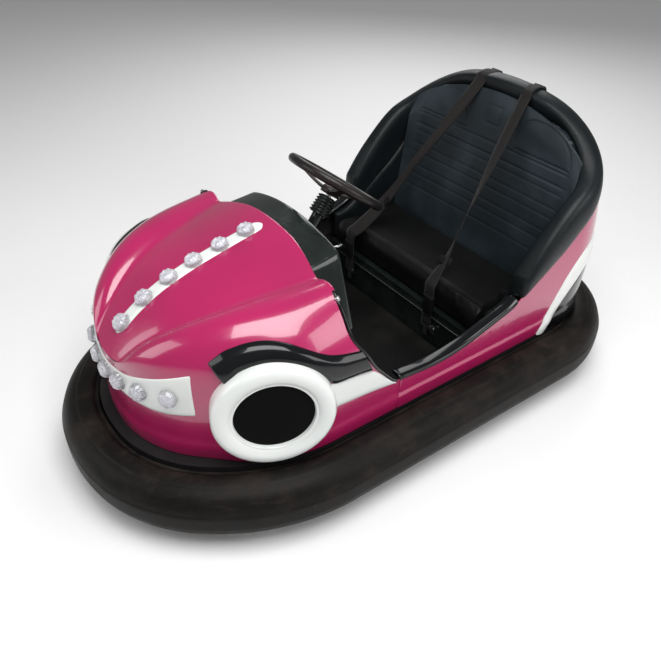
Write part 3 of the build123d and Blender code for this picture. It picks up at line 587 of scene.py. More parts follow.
edge_path = side_path(SHELL_EDGE)
EDGE_FRONT = edge_path[edge_path[:, 0] < 30.0]
EDGE_REAR = edge_path[edge_path[:, 0] >= -150.0]


def edge_y(z):
    """Where the bonnet's rear edge stands at a height."""
    order = np.argsort(EDGE_FRONT[:, 1])
    return float(np.interp(z, EDGE_FRONT[order, 1], EDGE_FRONT[order, 0]))


def edge_z(y):
    """How high the sill and the tail's edge stand at a place along the car."""
    order = np.argsort(EDGE_REAR[:, 0], kind="stable")
    return float(np.interp(y, EDGE_REAR[order, 0], EDGE_REAR[order, 1]))


def arch_top(x, arch):
    """How high an arch over the tail stands at a place across the car."""
    half, rise = arch
    return ARCH_FOOT + rise * math.sqrt(max(0.0, 1 - (x / half) ** 2))


def wall_level(z):
    """Half width, nose, tail and tail radius of the walls at a height."""
    low, waist, top = WALL_BOTTOM, WALL_WAIST, WALL_TOP
    weights = (
        (z - waist) * (z - top) / ((low - waist) * (low - top)),
        (z - low) * (z - top) / ((waist - low) * (waist - top)),
        (z - low) * (z - waist) / ((top - low) * (top - waist)),
    )
    return [sum(weight * level[item] for weight, level in zip(weights, WALL_LEVELS)) for item in range(4)]


OUTLINES = {}
# outlines are worked out at levels this far apart
LEVEL_STEP = 4.0


def wall_outline(z):
    """The walls' outline at a height, middle of the nose to middle of the tail, as arrays of x and y."""
    key = round(z / LEVEL_STEP)
    if key not in OUTLINES:
        half, nose, tail, corner = wall_level(key * LEVEL_STEP)
        cut = corner * (1 - math.tan(math.radians(22.5)))
        corners = [
            (0.0, nose),
            (half * 0.36, nose),
            (half, nose + 300.0),
            (half, tail - cut),
            (half - cut, tail),
            (0.0, tail),
        ]
        radii = [0.0, 360.0, 420.0, corner * 0.99, corner * 0.99, 0.0]
        OUTLINES[key] = np.array(rounded_path(corners, radii, 6.0, False))
    return OUTLINES[key]


def nose_half_width(behind, z):
    """Half width of the walls so far behind the nose's tip, at a height."""
    outline = wall_outline(z)
    _, nose, _, _ = wall_level(z)
    front = outline[outline[:, 1] < -200.0]
    return float(np.interp(behind + nose, front[:, 1], front[:, 0]))


def arc(start, middle, end, count):
    """Points on the circle through three points."""
    (ax, ay), (bx, by), (cx, cy) = start, middle, end
    twice = 2 * (ax * (by - cy) + bx * (cy - ay) + cx * (ay - by))
    a_square, b_square, c_square = (x**2 + y**2 for x, y in (start, middle, end))
    ux = (a_square * (by - cy) + b_square * (cy - ay) + c_square * (ay - by)) / twice
    uy = (a_square * (cx - bx) + b_square * (ax - cx) + c_square * (bx - ax)) / twice
    radius = math.hypot(ax - ux, ay - uy)
    first = math.atan2(ay - uy, ax - ux)
    last = math.atan2(cy - uy, cx - ux)
    middle_angle = math.atan2(by - uy, bx - ux)
    turn = (last - first) % (2 * math.pi)
    if (middle_angle - first) % (2 * math.pi) > turn:
        turn -= 2 * math.pi
    angles = [first + turn * step / count for step in range(count + 1)]
    return [(ux + radius * math.cos(angle), uy + radius * math.sin(angle)) for angle in angles]


bonnet_curve = np.array(flowing(BONNET[::-1], 12))
# points down the bonnet's flank, from its knee to the walls
FLANK_STEPS = 20


def bonnet_section(y):
    """The bonnet's section at y: points from the middle out over the crest and down the side."""
    row = [float(np.interp(y, bonnet_curve[:, 0], bonnet_curve[:, item])) for item in range(1, 9)]
    middle, valley_x, valley_z, crest_x, crest_z, knee_x, knee_z, foot_x = row
    inner = arc((-valley_x, valley_z), (0.0, middle), (valley_x, valley_z), 40)[20:]
    lobe = arc((valley_x, valley_z), (crest_x, crest_z), (knee_x, knee_z), 12)
    (px, pz), (qx, qz) = lobe[-2], lobe[-1]
    lean = Vector((qx - px, qz - pz)).normalized()
    reach = math.hypot(foot_x - knee_x, knee_z - WALL_WAIST) * 0.36
    side = []
    for step in range(1, FLANK_STEPS + 1):
        t = step / FLANK_STEPS
        back = 1 - t
        one = (knee_x + lean.x * reach, knee_z + lean.y * reach)
        two = (foot_x - 4.0, WALL_WAIST + reach)
        x = knee_x * back**3 + 3 * one[0] * t * back**2 + 3 * two[0] * t * t * back + foot_x * t**3
        z = knee_z * back**3 + 3 * one[1] * t * back**2 + 3 * two[1] * t * t * back + WALL_WAIST * t**3
        side.append((x, z))
    return np.array(inner + lobe[1:] + side)


ROOF_POINTS = 58
WALL_POINTS = 26


def crease_out(z):
    """How far the band below the side crease stands out."""
    share = min(1.0, max(0.0, (CREASE_Z + CREASE_SOFT - z) / (2 * CREASE_SOFT)))
    return CREASE_STEP * share * share * (3 - 2 * share)


def body_half_section(behind):
    """Half of the nose's skin so far behind its tip: roof points, then wall points, each x, y, z."""
    _, waist_nose, _, _ = WALL_LEVELS[1]
    y = waist_nose + behind
    fade = max(0.0, 1 - behind / 300.0)
    section = bonnet_section(y)
    widths = np.array([nose_half_width(behind, z) for _, z in section])
    outside = np.nonzero(section[:, 0] >= widths)[0]
    last = int(outside[0]) if len(outside) else len(section) - 1
    if last == 0:
        corner = np.array([widths[0], section[0][1]])
        kept = np.array([[0.0, section[0][1]], corner])
    else:
        inside_gap = widths[last - 1] - section[last - 1][0]
        outside_gap = section[last][0] - widths[last]
        share = inside_gap / max(1e-6, inside_gap + outside_gap)
        corner = section[last - 1] * (1 - share) + section[last] * share
        kept = np.vstack([section[:last], corner])
    along = np.concatenate([[0.0], np.cumsum(np.linalg.norm(np.diff(kept, axis=0), axis=1))])
    marks = np.linspace(0.0, along[-1], ROOF_POINTS)
    roof = np.stack([np.interp(marks, along, kept[:, axis]) for axis in (0, 1)], axis=1)
    points = []
    for x, z in roof:
        points.append([x, y + (wall_level(z)[1] - waist_nose) * fade, z])
    top = roof[-1][1]
    for step in range(1, WALL_POINTS + 1):
        z = top + (WALL_BOTTOM - top) * step / WALL_POINTS
        out = crease_out(z)
        x = nose_half_width(behind, z)
        drawn = (wall_level(z)[1] - waist_nose) * fade
        points.append([x + out * min(1.0, x / 200.0), y + drawn - out * fade, z])
    return np.array(points)


NOSE_STATIONS = 34
REAR_STATIONS = 34
ROUND_FRONT = 308.0
# the first station stands this part of a step behind the tip
FIRST_STEP = 0.25


def front_grid():
    """The nose's skin as rows from the tip back to the cockpit's edge."""
    tip = WALL_LEVELS[1][1]
    shares = [(step + FIRST_STEP) / (NOSE_STATIONS + FIRST_STEP) for step in range(NOSE_STATIONS + 1)]
    halves = [body_half_section(ROUND_FRONT * share**2) for share in shares]
    station_ys = np.linspace(tip + ROUND_FRONT, SEAM, 60)
    sections = np.array([body_half_section(y - tip) for y in station_ys])
    columns = sections.shape[1]
    ends = []
    for column in range(columns):
        end = -300.0
        for _ in range(12):
            z = float(np.interp(end, station_ys, sections[:, column, 2]))
            end = min(SEAM, edge_y(z)) * 0.6 + end * 0.4
        ends.append(end)
    for step in range(1, REAR_STATIONS + 1):
        row = []
        for column in range(columns):
            y = tip + ROUND_FRONT + (ends[column] - tip - ROUND_FRONT) * step / REAR_STATIONS
            row.append([float(np.interp(y, station_ys, sections[:, column, axis])) for axis in range(3)])
        halves.append(np.array(row))
    return np.array(halves)


def relaxed(rows, strength, rounds):
    """Points eased towards their neighbours, by a strength for each."""
    grid = rows.copy()
    for _ in range(rounds):
        mean = grid.copy()
        mean[1:-1] = (grid[:-2] + grid[2:]) / 2
        across = grid.copy()
        across[:, 1:-1] = (grid[:, :-2] + grid[:, 2:]) / 2
        target = (mean + across) / 2
        grid = grid + (target - grid) * strength[..., None]
    return grid


def full_front_rows():
    """Both halves of the nose with its edges and valleys softened."""
    half = front_grid()
    mirrored = half[:, ::-1].copy()
    mirrored[..., 0] *= -1
    rows = np.concatenate([mirrored[:, :-1], half], axis=1)
    stations, columns, _ = rows.shape
    middle = half.shape[1] - 1
    strength = np.full((stations, columns), 0.10)
    corner = ROOF_POINTS - 1
    for station in range(stations):
        front = max(0.0, 1 - station / (NOSE_STATIONS * 0.95))
        for column in range(columns):
            place = abs(column - middle)
            near = max(0.0, 1 - abs(place - corner) / (4.0 + 10.0 * front))
            strength[station, column] = 0.10 + 0.75 * near * (0.45 + 0.55 * front)
            if place > corner + 8:
                strength[station, column] = 0.05
    strength[-1, :] = 0.0
    strength[:, 0] = strength[:, -1] = 0.0
    strength[0, :] *= 0.3
    rows = relaxed(rows, strength, 26)
    tip = rows[:1].copy()
    tip[..., 0] = 0.0
    tip[..., 1] -= 0.4
    return np.concatenate([tip, rows], axis=0)


# points up the rear walls, and where the tail's round corner begins, forward of the foot's end
REAR_STEPS = 30
CORNER_START = 225.0


def rear_rows():
    """The walls behind the seam, row by row from the foot up to the sill and the tail's arch."""
    _, _, tail, _ = wall_level(WALL_BOTTOM)
    foot = wall_outline(WALL_BOTTOM)
    foot = foot[foot[:, 1] > SEAM]
    foot = np.vstack([[[WALL_LEVELS[0][0], SEAM]], foot])
    run = evened([tuple(point) for point in foot], 11.0, closed=False)
    half = []
    for x0, y0 in run:
        share = np.clip((y0 - 560.0) / (tail - 560.0), 0.0, 1.0)
        column = []
        top = edge_z(y0)
        for _ in range(10):
            x, y = wall_spot(x0, y0, top)
            limit = arch_top(x, SHELL_ARCH) if y > 420.0 else WALL_TOP
            top = 0.5 * top + 0.5 * min(edge_z(y), limit)
        for step in range(REAR_STEPS + 1):
            z = WALL_BOTTOM + (top - WALL_BOTTOM) * (step / REAR_STEPS)
            x, y = wall_spot(x0, y0, z)
            out = crease_out(z)
            column.append([x + out * (1 - share * 0.6), y + out * share, z])
        half.append(column)
    half = np.array(half)
    mirrored = half[::-1].copy()
    mirrored[..., 0] *= -1
    return np.concatenate([half, mirrored[1:]], axis=0)


def wall_spot(x0, y0, z):
    """Where a point of the foot outline stands at another height."""
    foot_half, _, foot_tail, _ = WALL_LEVELS[0]
    half, nose, tail, _ = wall_level(z)
    if y0 > 0:
        y = y0 * (1 + (tail / foot_tail - 1) * min(1.0, y0 / foot_tail))
    else:
        y = y0
    outline = wall_outline(z)
    if y0 > foot_tail - CORNER_START:
        corner = max(0.0, min(1.0, (y0 - (foot_tail - CORNER_START)) / CORNER_START))
        return x0 * (half / foot_half) * (1 - 0.05 * corner * (z - WALL_BOTTOM) / 700.0), y
    side = outline[(outline[:, 1] < foot_tail - 150.0) & (outline[:, 1] > nose + 5)]
    return float(np.interp(y, side[:, 1], side[:, 0])), y


SKINS = {}
NEAR_REACH = 530.0
# rays onto the skin start this far out to the side, ahead of the nose, behind the tail and above
BESIDE, AHEAD, BEHIND, ABOVE = 900.0, -1400.0, 1400.0, 1300.0


def skin_tree(name, rows):
    """A ray-casting tree over the skin, so that strips and lamps can be laid on it."""
    columns = rows.shape[1]
    points = [Vector(point) for row in rows for point in row]
    SKINS[name] = BVHTree.FromPolygons(points, grid_faces(rows.shape[0], columns))


def on_skin(name, start, direction):
    """Where a ray meets the skin, and the outward normal there, in millimetres."""
    start, direction = Vector(start), Vector(direction).normalized()
    spot, normal, _, _ = SKINS[name].ray_cast(start, direction)
    if spot is None:
        spot, normal, _, _ = SKINS[name].find_nearest(start + direction * NEAR_REACH)
    if normal.dot(direction) > 0:
        normal = -normal
    return spot, normal


def walled(made):
    """The shell's smooth outer skin, with a wall behind it that is bare inside."""
    subdivide(made, 1)
    thicken(made, 3.0)
    # the inner faces take the near-black painted-shade finish
    made.data.materials.append(FINISHES["inside"])
    made.modifiers["wall"].material_offset = 1
    made.modifiers["wall"].thickness_clamp = 1.0


def build_shells():
    """The bonnet and the body's sides and tail as two smooth walls."""
    front = full_front_rows()
    skin_tree("front", front)
    cowl = grid_object("bonnet_and_nose", list(front), "body")
    walled(cowl)
    settle(cowl, "car", "body_gloss", "front_cowl")
    rear = rear_rows()
    skin_tree("rear", rear)
    sides = grid_object("body_sides_and_tail", list(rear), "body")
    walled(sides)
    settle(sides, "car", "body_gloss", "rear_body")


# ---------------------------------------------------------------- strips laid on the skin
def side_spot(y, z, out=0.0, skin="front"):
    """A point of the skin on the +X side, stood out along its normal."""
    spot, normal = on_skin(skin, (BESIDE, y, z), (-1, 0, 0))
    return spot + normal * out


# a strip's points this close to the middle plane, in metres, join its mirror image
MIDDLE = 0.0001


def mirrored_pair(name, rows, finish, slot, nodes, levels=1):
    """A strip on the +X side and its mirror image as one piece, welded where they meet."""
    made = grid_object(name, rows, finish)
    work = bmesh.new()
    work.from_mesh(made.data)
    copy = bmesh.ops.duplicate(work, geom=work.verts[:] + work.edges[:] + work.faces[:])
    other = [item for item in copy["geom"] if isinstance(item, bmesh.types.BMVert)]
    for vert in other:
        vert.co.x *= -1
    turned = [item for item in copy["geom"] if isinstance(item, bmesh.types.BMFace)]
    bmesh.ops.reverse_faces(work, faces=turned)
    middle = [vert for vert in work.verts if abs(vert.co.x) < MIDDLE]
    bmesh.ops.remove_doubles(work, verts=middle, dist=MIDDLE)
    work.to_mesh(made.data)
    work.free()
    if levels:
        subdivide(made, levels)
    return settle(made, "car", slot, *nodes)


def laid_strip(table, across, rise, steps, skin="front", foot=-2.0):
    """Rows of points over a strip between two edges seen from the side, rounded up to a height."""
    rows = []
    for upper_y, upper_z, lower_y, lower_z in flowing(table, steps):
        row = []
        for step in range(across + 1):
            share = step / across
            y = upper_y + (lower_y - upper_y) * share
            z = upper_z + (lower_z - upper_z) * share
            row.append(side_spot(y, z, rise(share), skin))
        first = side_spot(upper_y, upper_z, foot, skin)
        last = side_spot(lower_y, lower_z, foot, skin)
        rows.append([first] + row + [last])
    return rows


# fender strip from its slanted nose end to the cockpit: upper edge y and z, lower edge y and z
FENDER_ROWS = [
    (-686.0, 585.0, -656.0, 520.0),
    (-664.0, 601.0, -642.0, 546.0),
    (-640.0, 615.0, -628.0, 566.0),
    (-592.0, 629.0, -592.0, 578.0),
    (-544.0, 632.0, -555.0, 581.0),
    (-500.0, 622.0, -520.0, 575.0),
    (-460.0, 601.0, -487.0, 562.0),
    (-425.0, 580.0, -455.0, 540.0),
    (-395.0, 565.0, -428.0, 510.0),
    (-362.0, 555.0, -396.0, 474.0),
    (-335.0, 549.0, -345.0, 466.0),
    (-314.0, 545.0, -300.0, 461.0),
    (-302.0, 543.0, -264.0, 454.0),
]
# white stripe under it, from the ring to the sill
STRIPE_ROWS = [
    (-404.0, 478.0, -404.0, 379.0),
    (-372.0, 470.0, -360.0, 375.0),
    (-330.0, 465.0, -310.0, 371.0),
    (-290.0, 459.0, -262.0, 366.0),
    (-256.0, 450.0, -228.0, 362.0),
    (-222.0, 418.0, -200.0, 358.0),
    (-190.0, 382.0, -176.0, 355.0),
    (-168.0, 362.0, -158.0, 352.0),
]
# nose lamp panel from the middle out: x, upper z, lower z
PANEL_ROWS = [
    (-4.0, 462.0, 398.0),
    (90.0, 470.0, 392.0),
    (180.0, 498.0, 388.0),
    (240.0, 521.0, 391.0),
    (288.0, 543.0, 400.0),
]
HOOD_STRIP_NOSE, HOOD_STRIP_TAIL, HOOD_STRIP_HALF = -812.0, -322.0, 26.0
# tail border seen from the side, bottom to top: outer y and z, inner y and z
BORDER_ROWS = [
    (498.0, 232.0, 543.0, 232.0),
    (520.0, 297.0, 566.0, 281.0),
    (537.0, 347.0, 588.0, 320.0),
    (552.0, 390.0, 609.0, 357.0),
    (575.0, 448.0, 632.0, 390.0),
    (600.0, 492.0, 656.0, 418.0),
    (630.0, 530.0, 680.0, 436.0),
    (665.0, 553.0, 704.0, 445.0),
    (706.0, 564.0, 728.0, 449.0),
]


def strip_round(height, edge=0.16):
    """A rounded-over section of a strip: steep at its edges and full across the middle."""

    def rise(share):
        side = min(share, 1 - share) / edge
        shoulder = 1 - max(0.0, 1 - min(1.0, side)) ** 2
        crown = 0.72 + 0.28 * math.sin(math.pi * share)
        return 1.2 + height * shoulder * crown

    return rise


def build_dressing():
    """Fender strips, side stripes, bonnet strip and nose panel, laid on the bonnet."""
    fender = laid_strip(FENDER_ROWS, 14, strip_round(13.0, 0.34), 5)
    shares = np.linspace(0, 1, len(fender[0]))
    nose_end = [side_spot(-690.0 + 32.0 * share, 583.0 - 64.0 * share, -2.0) for share in shares]
    mirrored_pair("fender_strips_round", [nose_end] + fender, "black", "black_gloss", ["fender_strips"])
    stripe = laid_strip(STRIPE_ROWS, 8, strip_round(2.2, 0.12), 4)
    mirrored_pair("side_stripes_round", stripe, "white", "white_gloss", ["side_stripes"])
    panel = []
    for x, upper, lower in flowing(PANEL_ROWS, 6):
        row = []
        for share in np.linspace(0, 1, 11):
            spot, normal = on_skin("front", (x, AHEAD, upper + (lower - upper) * share), (0, 1, 0))
            row.append(spot + normal * (3.0 if 0.02 < share < 0.98 else 2.2))
        first, last = Vector(row[0]), Vector(row[-1])
        panel.append([first - Vector((0, -4, 0))] + row + [last - Vector((0, -4, 0))])
    panel.append([point + Vector((0.0, 5.0, 0.0)) for point in panel[-1]])
    mirrored_pair("nose_lamp_panel_round", panel, "white", "white_gloss", ["nose_light_panel"])
    strip = []
    count = 46
    for step in range(count + 1):
        share = step / count
        y = HOOD_STRIP_NOSE + (HOOD_STRIP_TAIL - HOOD_STRIP_NOSE) * share
        end = min(y - HOOD_STRIP_NOSE, HOOD_STRIP_TAIL - y)
        half = HOOD_STRIP_HALF
        if end < half:
            half = math.sqrt(max(4.0, half**2 - (half - end) ** 2))
        row = []
        for across in np.linspace(-1, 1, 9):
            spot, normal = on_skin("front", (half * across, y, ABOVE), (0, 0, -1))
            out = 3.4 if abs(across) < 0.95 and 0 < step < count else -1.0
            row.append(spot + normal * out)
        strip.append(row)
    made = subdivide(grid_object("bonnet_lamp_strip", strip, "white"), 1)
    settle(made, "car", "white_gloss", "hood_light_strip")


# the tail's corner turns about this x and y, and unrolls with this reach
TAIL_TURN = (246.0, 590.0, 225.0)
TAIL_PANEL_FOOT, TAIL_PANEL_PROUD = 231.0, 2.4


def tail_spot(y, z, out):
    """A point of the tail's skin: y past the corner's start runs on round the corner."""
    x_centre, y_centre, reach = TAIL_TURN
    if y < y_centre:
        return side_spot(y, z, out, "rear")
    angle = min(math.pi / 2, (y - y_centre) / reach)
    direction = Vector((math.cos(angle), math.sin(angle), 0.0))
    spot, normal = on_skin("rear", Vector((x_centre, y_centre, z)) + direction * 600.0, -direction)
    return spot + normal * out


def build_tail_dressing():
    """The white border and the black panel wrapped round the tail."""
    rows = flowing(BORDER_ROWS, 4)
    _, y_centre, reach = TAIL_TURN
    for y in np.linspace(752.0, y_centre + reach * math.pi / 2, 14):
        rows.append((y, 568.0, y, 450.0))
    border, panel = [], []
    for outer_y, outer_z, inner_y, inner_z in rows:
        border.append([])
        for share in np.linspace(0, 1, 9):
            inside = 0.01 < share < 0.99
            out = 1.0 + 7.0 * math.sin(math.pi * share) ** 0.6 if inside else -1.0
            y, z = outer_y + (inner_y - outer_y) * share, outer_z + (inner_z - outer_z) * share
            border[-1].append(tail_spot(y, z, out))
        drops = [(TAIL_PANEL_FOOT - inner_z) * share for share in np.linspace(0, 1, 13)]
        panel.append([tail_spot(inner_y, inner_z + drop, TAIL_PANEL_PROUD) for drop in drops])
    for rows_of, name, finish, slot, node in (
        (border, "tail_border_round", "white", "white_gloss", "tail_border"),
        (panel, "tail_panel_black", "black", "black_gloss", "tail_panel"),
    ):
        corner = rows_of[-1]
        for x in np.linspace(corner[0].x, 0.0, 8)[1:]:
            rows_of.append([Vector((x, tail_middle(x, point), point.z)) for point in corner])
        mirrored_pair(name, rows_of, finish, slot, [node])


def tail_middle(x, point):
    """How far back a strip's point stands across the flat of the tail, as proud as at the corner."""
    at_corner, _ = on_skin("rear", (point.x, BEHIND, point.z), (0, -1, 0))
    here, _ = on_skin("rear", (max(x, 1.0), BEHIND, point.z), (0, -1, 0))
    return here.y + (point.y - at_corner.y)


# ---------------------------------------------------------------- false wheels and lamps
RING_OUTER, RING_INNER, RING_PROUD = 172.0, 114.0, 26.0
WHEEL_Y, WHEEL_Z, WHEEL_TURN = -562.0, 420.0, 23.5
RING_ROUND = [
    (RING_OUTER - 4.0, -70.0),
    (RING_OUTER, -20.0),
    (RING_OUTER, RING_PROUD - 20.0),
    (RING_OUTER - 3.0, RING_PROUD - 10.0),
    (RING_OUTER - 10.0, RING_PROUD - 2.5),
    (RING_OUTER - 22.0, RING_PROUD + 1.0),
    (RING_OUTER - 36.0, RING_PROUD),
    (RING_INNER + 10.0, RING_PROUD - 5.0),
    (RING_INNER + 6.5, RING_PROUD - 8.5),
    (RING_INNER + 5.5, RING_PROUD - 9.5),
    (RING_INNER + 1.0, RING_PROUD - 8.5),
    (RING_INNER - 2.0, RING_PROUD - 11.0),
    (RING_INNER - 3.0, RING_PROUD - 22.0),
]
HUB_ROUND = [
    (0.0, RING_PROUD - 17.0),
    (40.0, RING_PROUD - 17.2),
    (80.0, RING_PROUD - 18.0),
    (RING_INNER - 4.0, RING_PROUD - 19.5),
    (RING_INNER + 2.0, RING_PROUD - 21.0),
]


def wheel_place(side):
    """The middle and facing of a false wheel on one side."""
    point = side_spot(WHEEL_Y, WHEEL_Z)
    angle = math.radians(WHEEL_TURN)
    facing = Vector((side * math.cos(angle), -math.sin(angle), 0.0))
    return facing_place(facing, Vector((side * point.x, point.y, point.z)))


def joined(name, parts):
    """Several mesh objects as one."""
    work = bmesh.new()
    for part in parts:
        work.from_mesh(part.data)
    materials = list(parts[0].data.materials)
    for part in parts:
        data = part.data
        bpy.data.objects.remove(part)
        bpy.data.meshes.remove(data)
    mesh = bpy.data.meshes.new(name)
    work.to_mesh(mesh)
    work.free()
    for material in materials:
        mesh.materials.append(material)
    made = bpy.data.objects.new(name, mesh)
    bpy.context.scene.collection.objects.link(made)
    return made


def build_false_wheels():
    """The round white mouldings with black middles on the bonnet's sides."""
    for name, profile, finish, segments, slot, node in (
        ("false_wheel_rings", RING_ROUND, "white", 96, "white_gloss", "false_tyres"),
        ("false_wheel_hubs", HUB_ROUND, "hub", 72, "black_gloss", "false_hubs"),
    ):
        pair = []
        for side in SIDES:
            pair.append(revolved(f"{name}_{side}", profile, wheel_place(side), finish, segments, close=False))
        settle(subdivide(joined(name, pair)), "car", slot, node)


HOOD_LAMP_YS = [-786.0, -712.0, -632.0, -552.0, -465.0, -378.0]
# the nose panel's lamps on one side of the middle one: x and z
NOSE_LAMP_SIDE = [(72.0, 434.0), (156.0, 442.0), (240.0, 456.0)]
NOSE_LAMP_SPOTS = [(0.0, 430.0)] + NOSE_LAMP_SIDE + [(-x, z) for x, z in NOSE_LAMP_SIDE]
LAMP_PETALS = 8
# rings of a dome from its middle to its edge, the edge twice for its foot
DOME_SHARES = (0.0, 0.12, 0.24, 0.36, 0.5, 0.64, 0.78, 0.9, 1.0, 1.0)


def lamp_dome(place, radius, height):
    """Rows of a clear dome pressed with petals round a small button."""
    rows = []
    for step, share in enumerate(DOME_SHARES):
        row = []
        for turn in range(48):
            angle = 2 * math.pi * turn / 48
            petal = 0.5 + 0.5 * math.cos(LAMP_PETALS * angle)
            lift = height * math.sqrt(max(0.0, 1 - share**2.4))
            if 0.2 < share < 0.95:
                lift += 2.7 * petal * math.sin(math.pi * (share - 0.2) / 0.75)
            if share < 0.2:
                lift -= 2.0
            size = radius * share * (1 - 0.09 * (1 - petal) * share)
            if step == len(DOME_SHARES) - 1:
                lift = -4.0
            row.append(place @ Vector((size * math.cos(angle), size * math.sin(angle), lift)))
        rows.append(row)
    return rows


def lamp_core(place, radius, height):
    """Rows of the bright fluted reflector under a dome."""
    rows = []
    for share in (0.0, 0.22, 0.3, 0.55, 0.8, 1.0):
        row = []
        for turn in range(32):
            angle = 2 * math.pi * turn / 32
            flute = 1.0 if turn % 2 else -1.0
            lift = height * (0.25 + 0.5 * share**2) + flute * 1.3 * share
            if share < 0.25:
                lift = height * 0.62
            size = radius * share
            row.append(place @ Vector((size * math.cos(angle), size * math.sin(angle), lift)))
        rows.append(row)
    return rows


def build_lamps(look):
    """Clear petalled lamps over bright reflectors, along the bonnet strip and across the nose panel."""
    groups = {"bonnet_lamps": [], "nose_panel_lamps": []}
    for y in HOOD_LAMP_YS:
        groups["bonnet_lamps"].append(on_skin("front", (0.0, y, ABOVE), (0, 0, -1)))
    for x, z in NOSE_LAMP_SPOTS:
        groups["nose_panel_lamps"].append(on_skin("front", (x, AHEAD, z), (0, 1, 0)))
    radius, height = look.lamp_radius / MM, look.lamp_height / MM
    for name, spots in groups.items():
        domes, cores = [], []
        for spot, normal in spots:
            place = facing_place(normal, spot + normal * 4.0)
            dome = lamp_dome(place, radius, height)
            core = lamp_core(place, radius * 0.86, height * 0.55)
            domes.append(grid_object("dome", dome, "lens", close_columns=True))
            cores.append(grid_object("core", core, "core", close_columns=True))
        node = "hood_lamps" if name == "bonnet_lamps" else "nose_lamps"
        settle(joined(name, domes), "car", "lamp_clear", node)
        settle(joined(name + "_reflectors", cores), "car", "lamp_clear")


# ---------------------------------------------------------------- bumper tyre
TYRE_CORNERS = [(266.0, -1011.0), (580.0, -624.0), (580.0, 750.0), (330.0, 1011.0)]
TYRE_RADII = [515.0, 695.0, 480.0, 385.0]
# the tyre's section, inner foot first: depth inward from the outer edge, z
TYRE_SECTION = [
    (128.0, 78.0),
    (129.5, 110.0),
    (129.5, 200.0),
    (128.0, 214.0),
    (122.0, 219.0),
    (117.0, 216.0),
    (113.0, 217.0),
    (108.0, 224.0),
    (98.0, 228.5),
    (84.0, 230.0),
    (66.0, 228.0),
    (57.0, 225.5),
    (54.5, 222.0),
    (50.0, 221.5),
    (36.0, 215.0),
    (22.0, 203.0),
    (10.5, 186.0),
    (4.0, 168.0),
    (3.4, 163.5),
    (0.6, 161.0),
    (0.0, 150.0),
    (0.0, 120.0),
    (0.6, 108.0),
    (3.0, 105.5),
    (3.4, 101.0),
    (6.0, 92.0),
    (12.0, 82.0),
    (24.0, 74.5),
    (40.0, 73.0),
    (100.0, 73.0),
    (118.0, 74.0),
]


# knocks dent the tyre's outer face, between these heights and to this depth from its edge
DENT_LOW, DENT_HIGH, DENT_REACH = 85.0, 222.0, 60.0


def tyre_outline():
    """The tyre's outer plan as evenly spaced points and inward directions."""
    corners = TYRE_CORNERS + [(-x, y) for x, y in reversed(TYRE_CORNERS)]
    path = rounded_path(corners, TYRE_RADII + TYRE_RADII[::-1], 10.0)
    points = evened(path, 15.0)
    tangent = np.roll(points, -1, axis=0) - np.roll(points, 1, axis=0)
    tangent /= np.linalg.norm(tangent, axis=1)[:, None]
    inward = np.stack([-tangent[:, 1], tangent[:, 0]], axis=1)
    if np.sum(inward * points) > 0:
        inward = -inward
    return points, inward


def build_bumper(look):
    """The inflated bumper ring with its moulded ribs, and small dents from knocks."""
    points, inward = tyre_outline()
    rows = []
    for index, (point, way) in enumerate(zip(points, inward)):
        swell = math.sin(index * 0.31) * math.sin(index * 0.117 + 1.0)
        row = []
        for depth, z in TYRE_SECTION:
            outer = max(0.0, 1 - depth / DENT_REACH) * (1 if DENT_LOW < z < DENT_HIGH else 0)
            dent = look.dent_depth / MM * max(0.0, swell) * outer
            spot = point + way * (depth + dent)
            row.append((spot[0], spot[1], z))
        rows.append(row)
    made = grid_object("bumper_ring", rows, "bumper", close_rows=True, close_columns=True)
    subdivide(made, 1)
    settle(made, "car", "bumper_rubber", "bumper_tyre")


# ---------------------------------------------------------------- trims and sills
TRIM_TOP = 688.0
SILL_FRONT, SILL_REAR = -149.0, 344.0
# the cap's section over the sill: out from the wall, up from its edge
CAP_SECTION = [
    (2.0, -5.0),
    (3.0, 3.0),
    (1.0, 9.0),
    (-5.0, 12.8),
    (-16.0, 14.0),
    (-28.0, 14.0),
    (-38.0, 12.0),
    (-42.5, 7.0),
    (-43.0, 1.0),
    (-38.0, -1.0),
    (-10.0, -1.5),
]


BEAD_RADIUS = 6.0
SILL_BOLT = (441.0, 345.0, 446.0)
STUD_Z = 662.0
# a screw's head: radius, height
BOLT_HEAD = [(0.0, 5.0), (3.0, 4.8), (6.0, 3.6), (7.5, 1.5), (8.0, -1.0), (8.0, -6.0)]


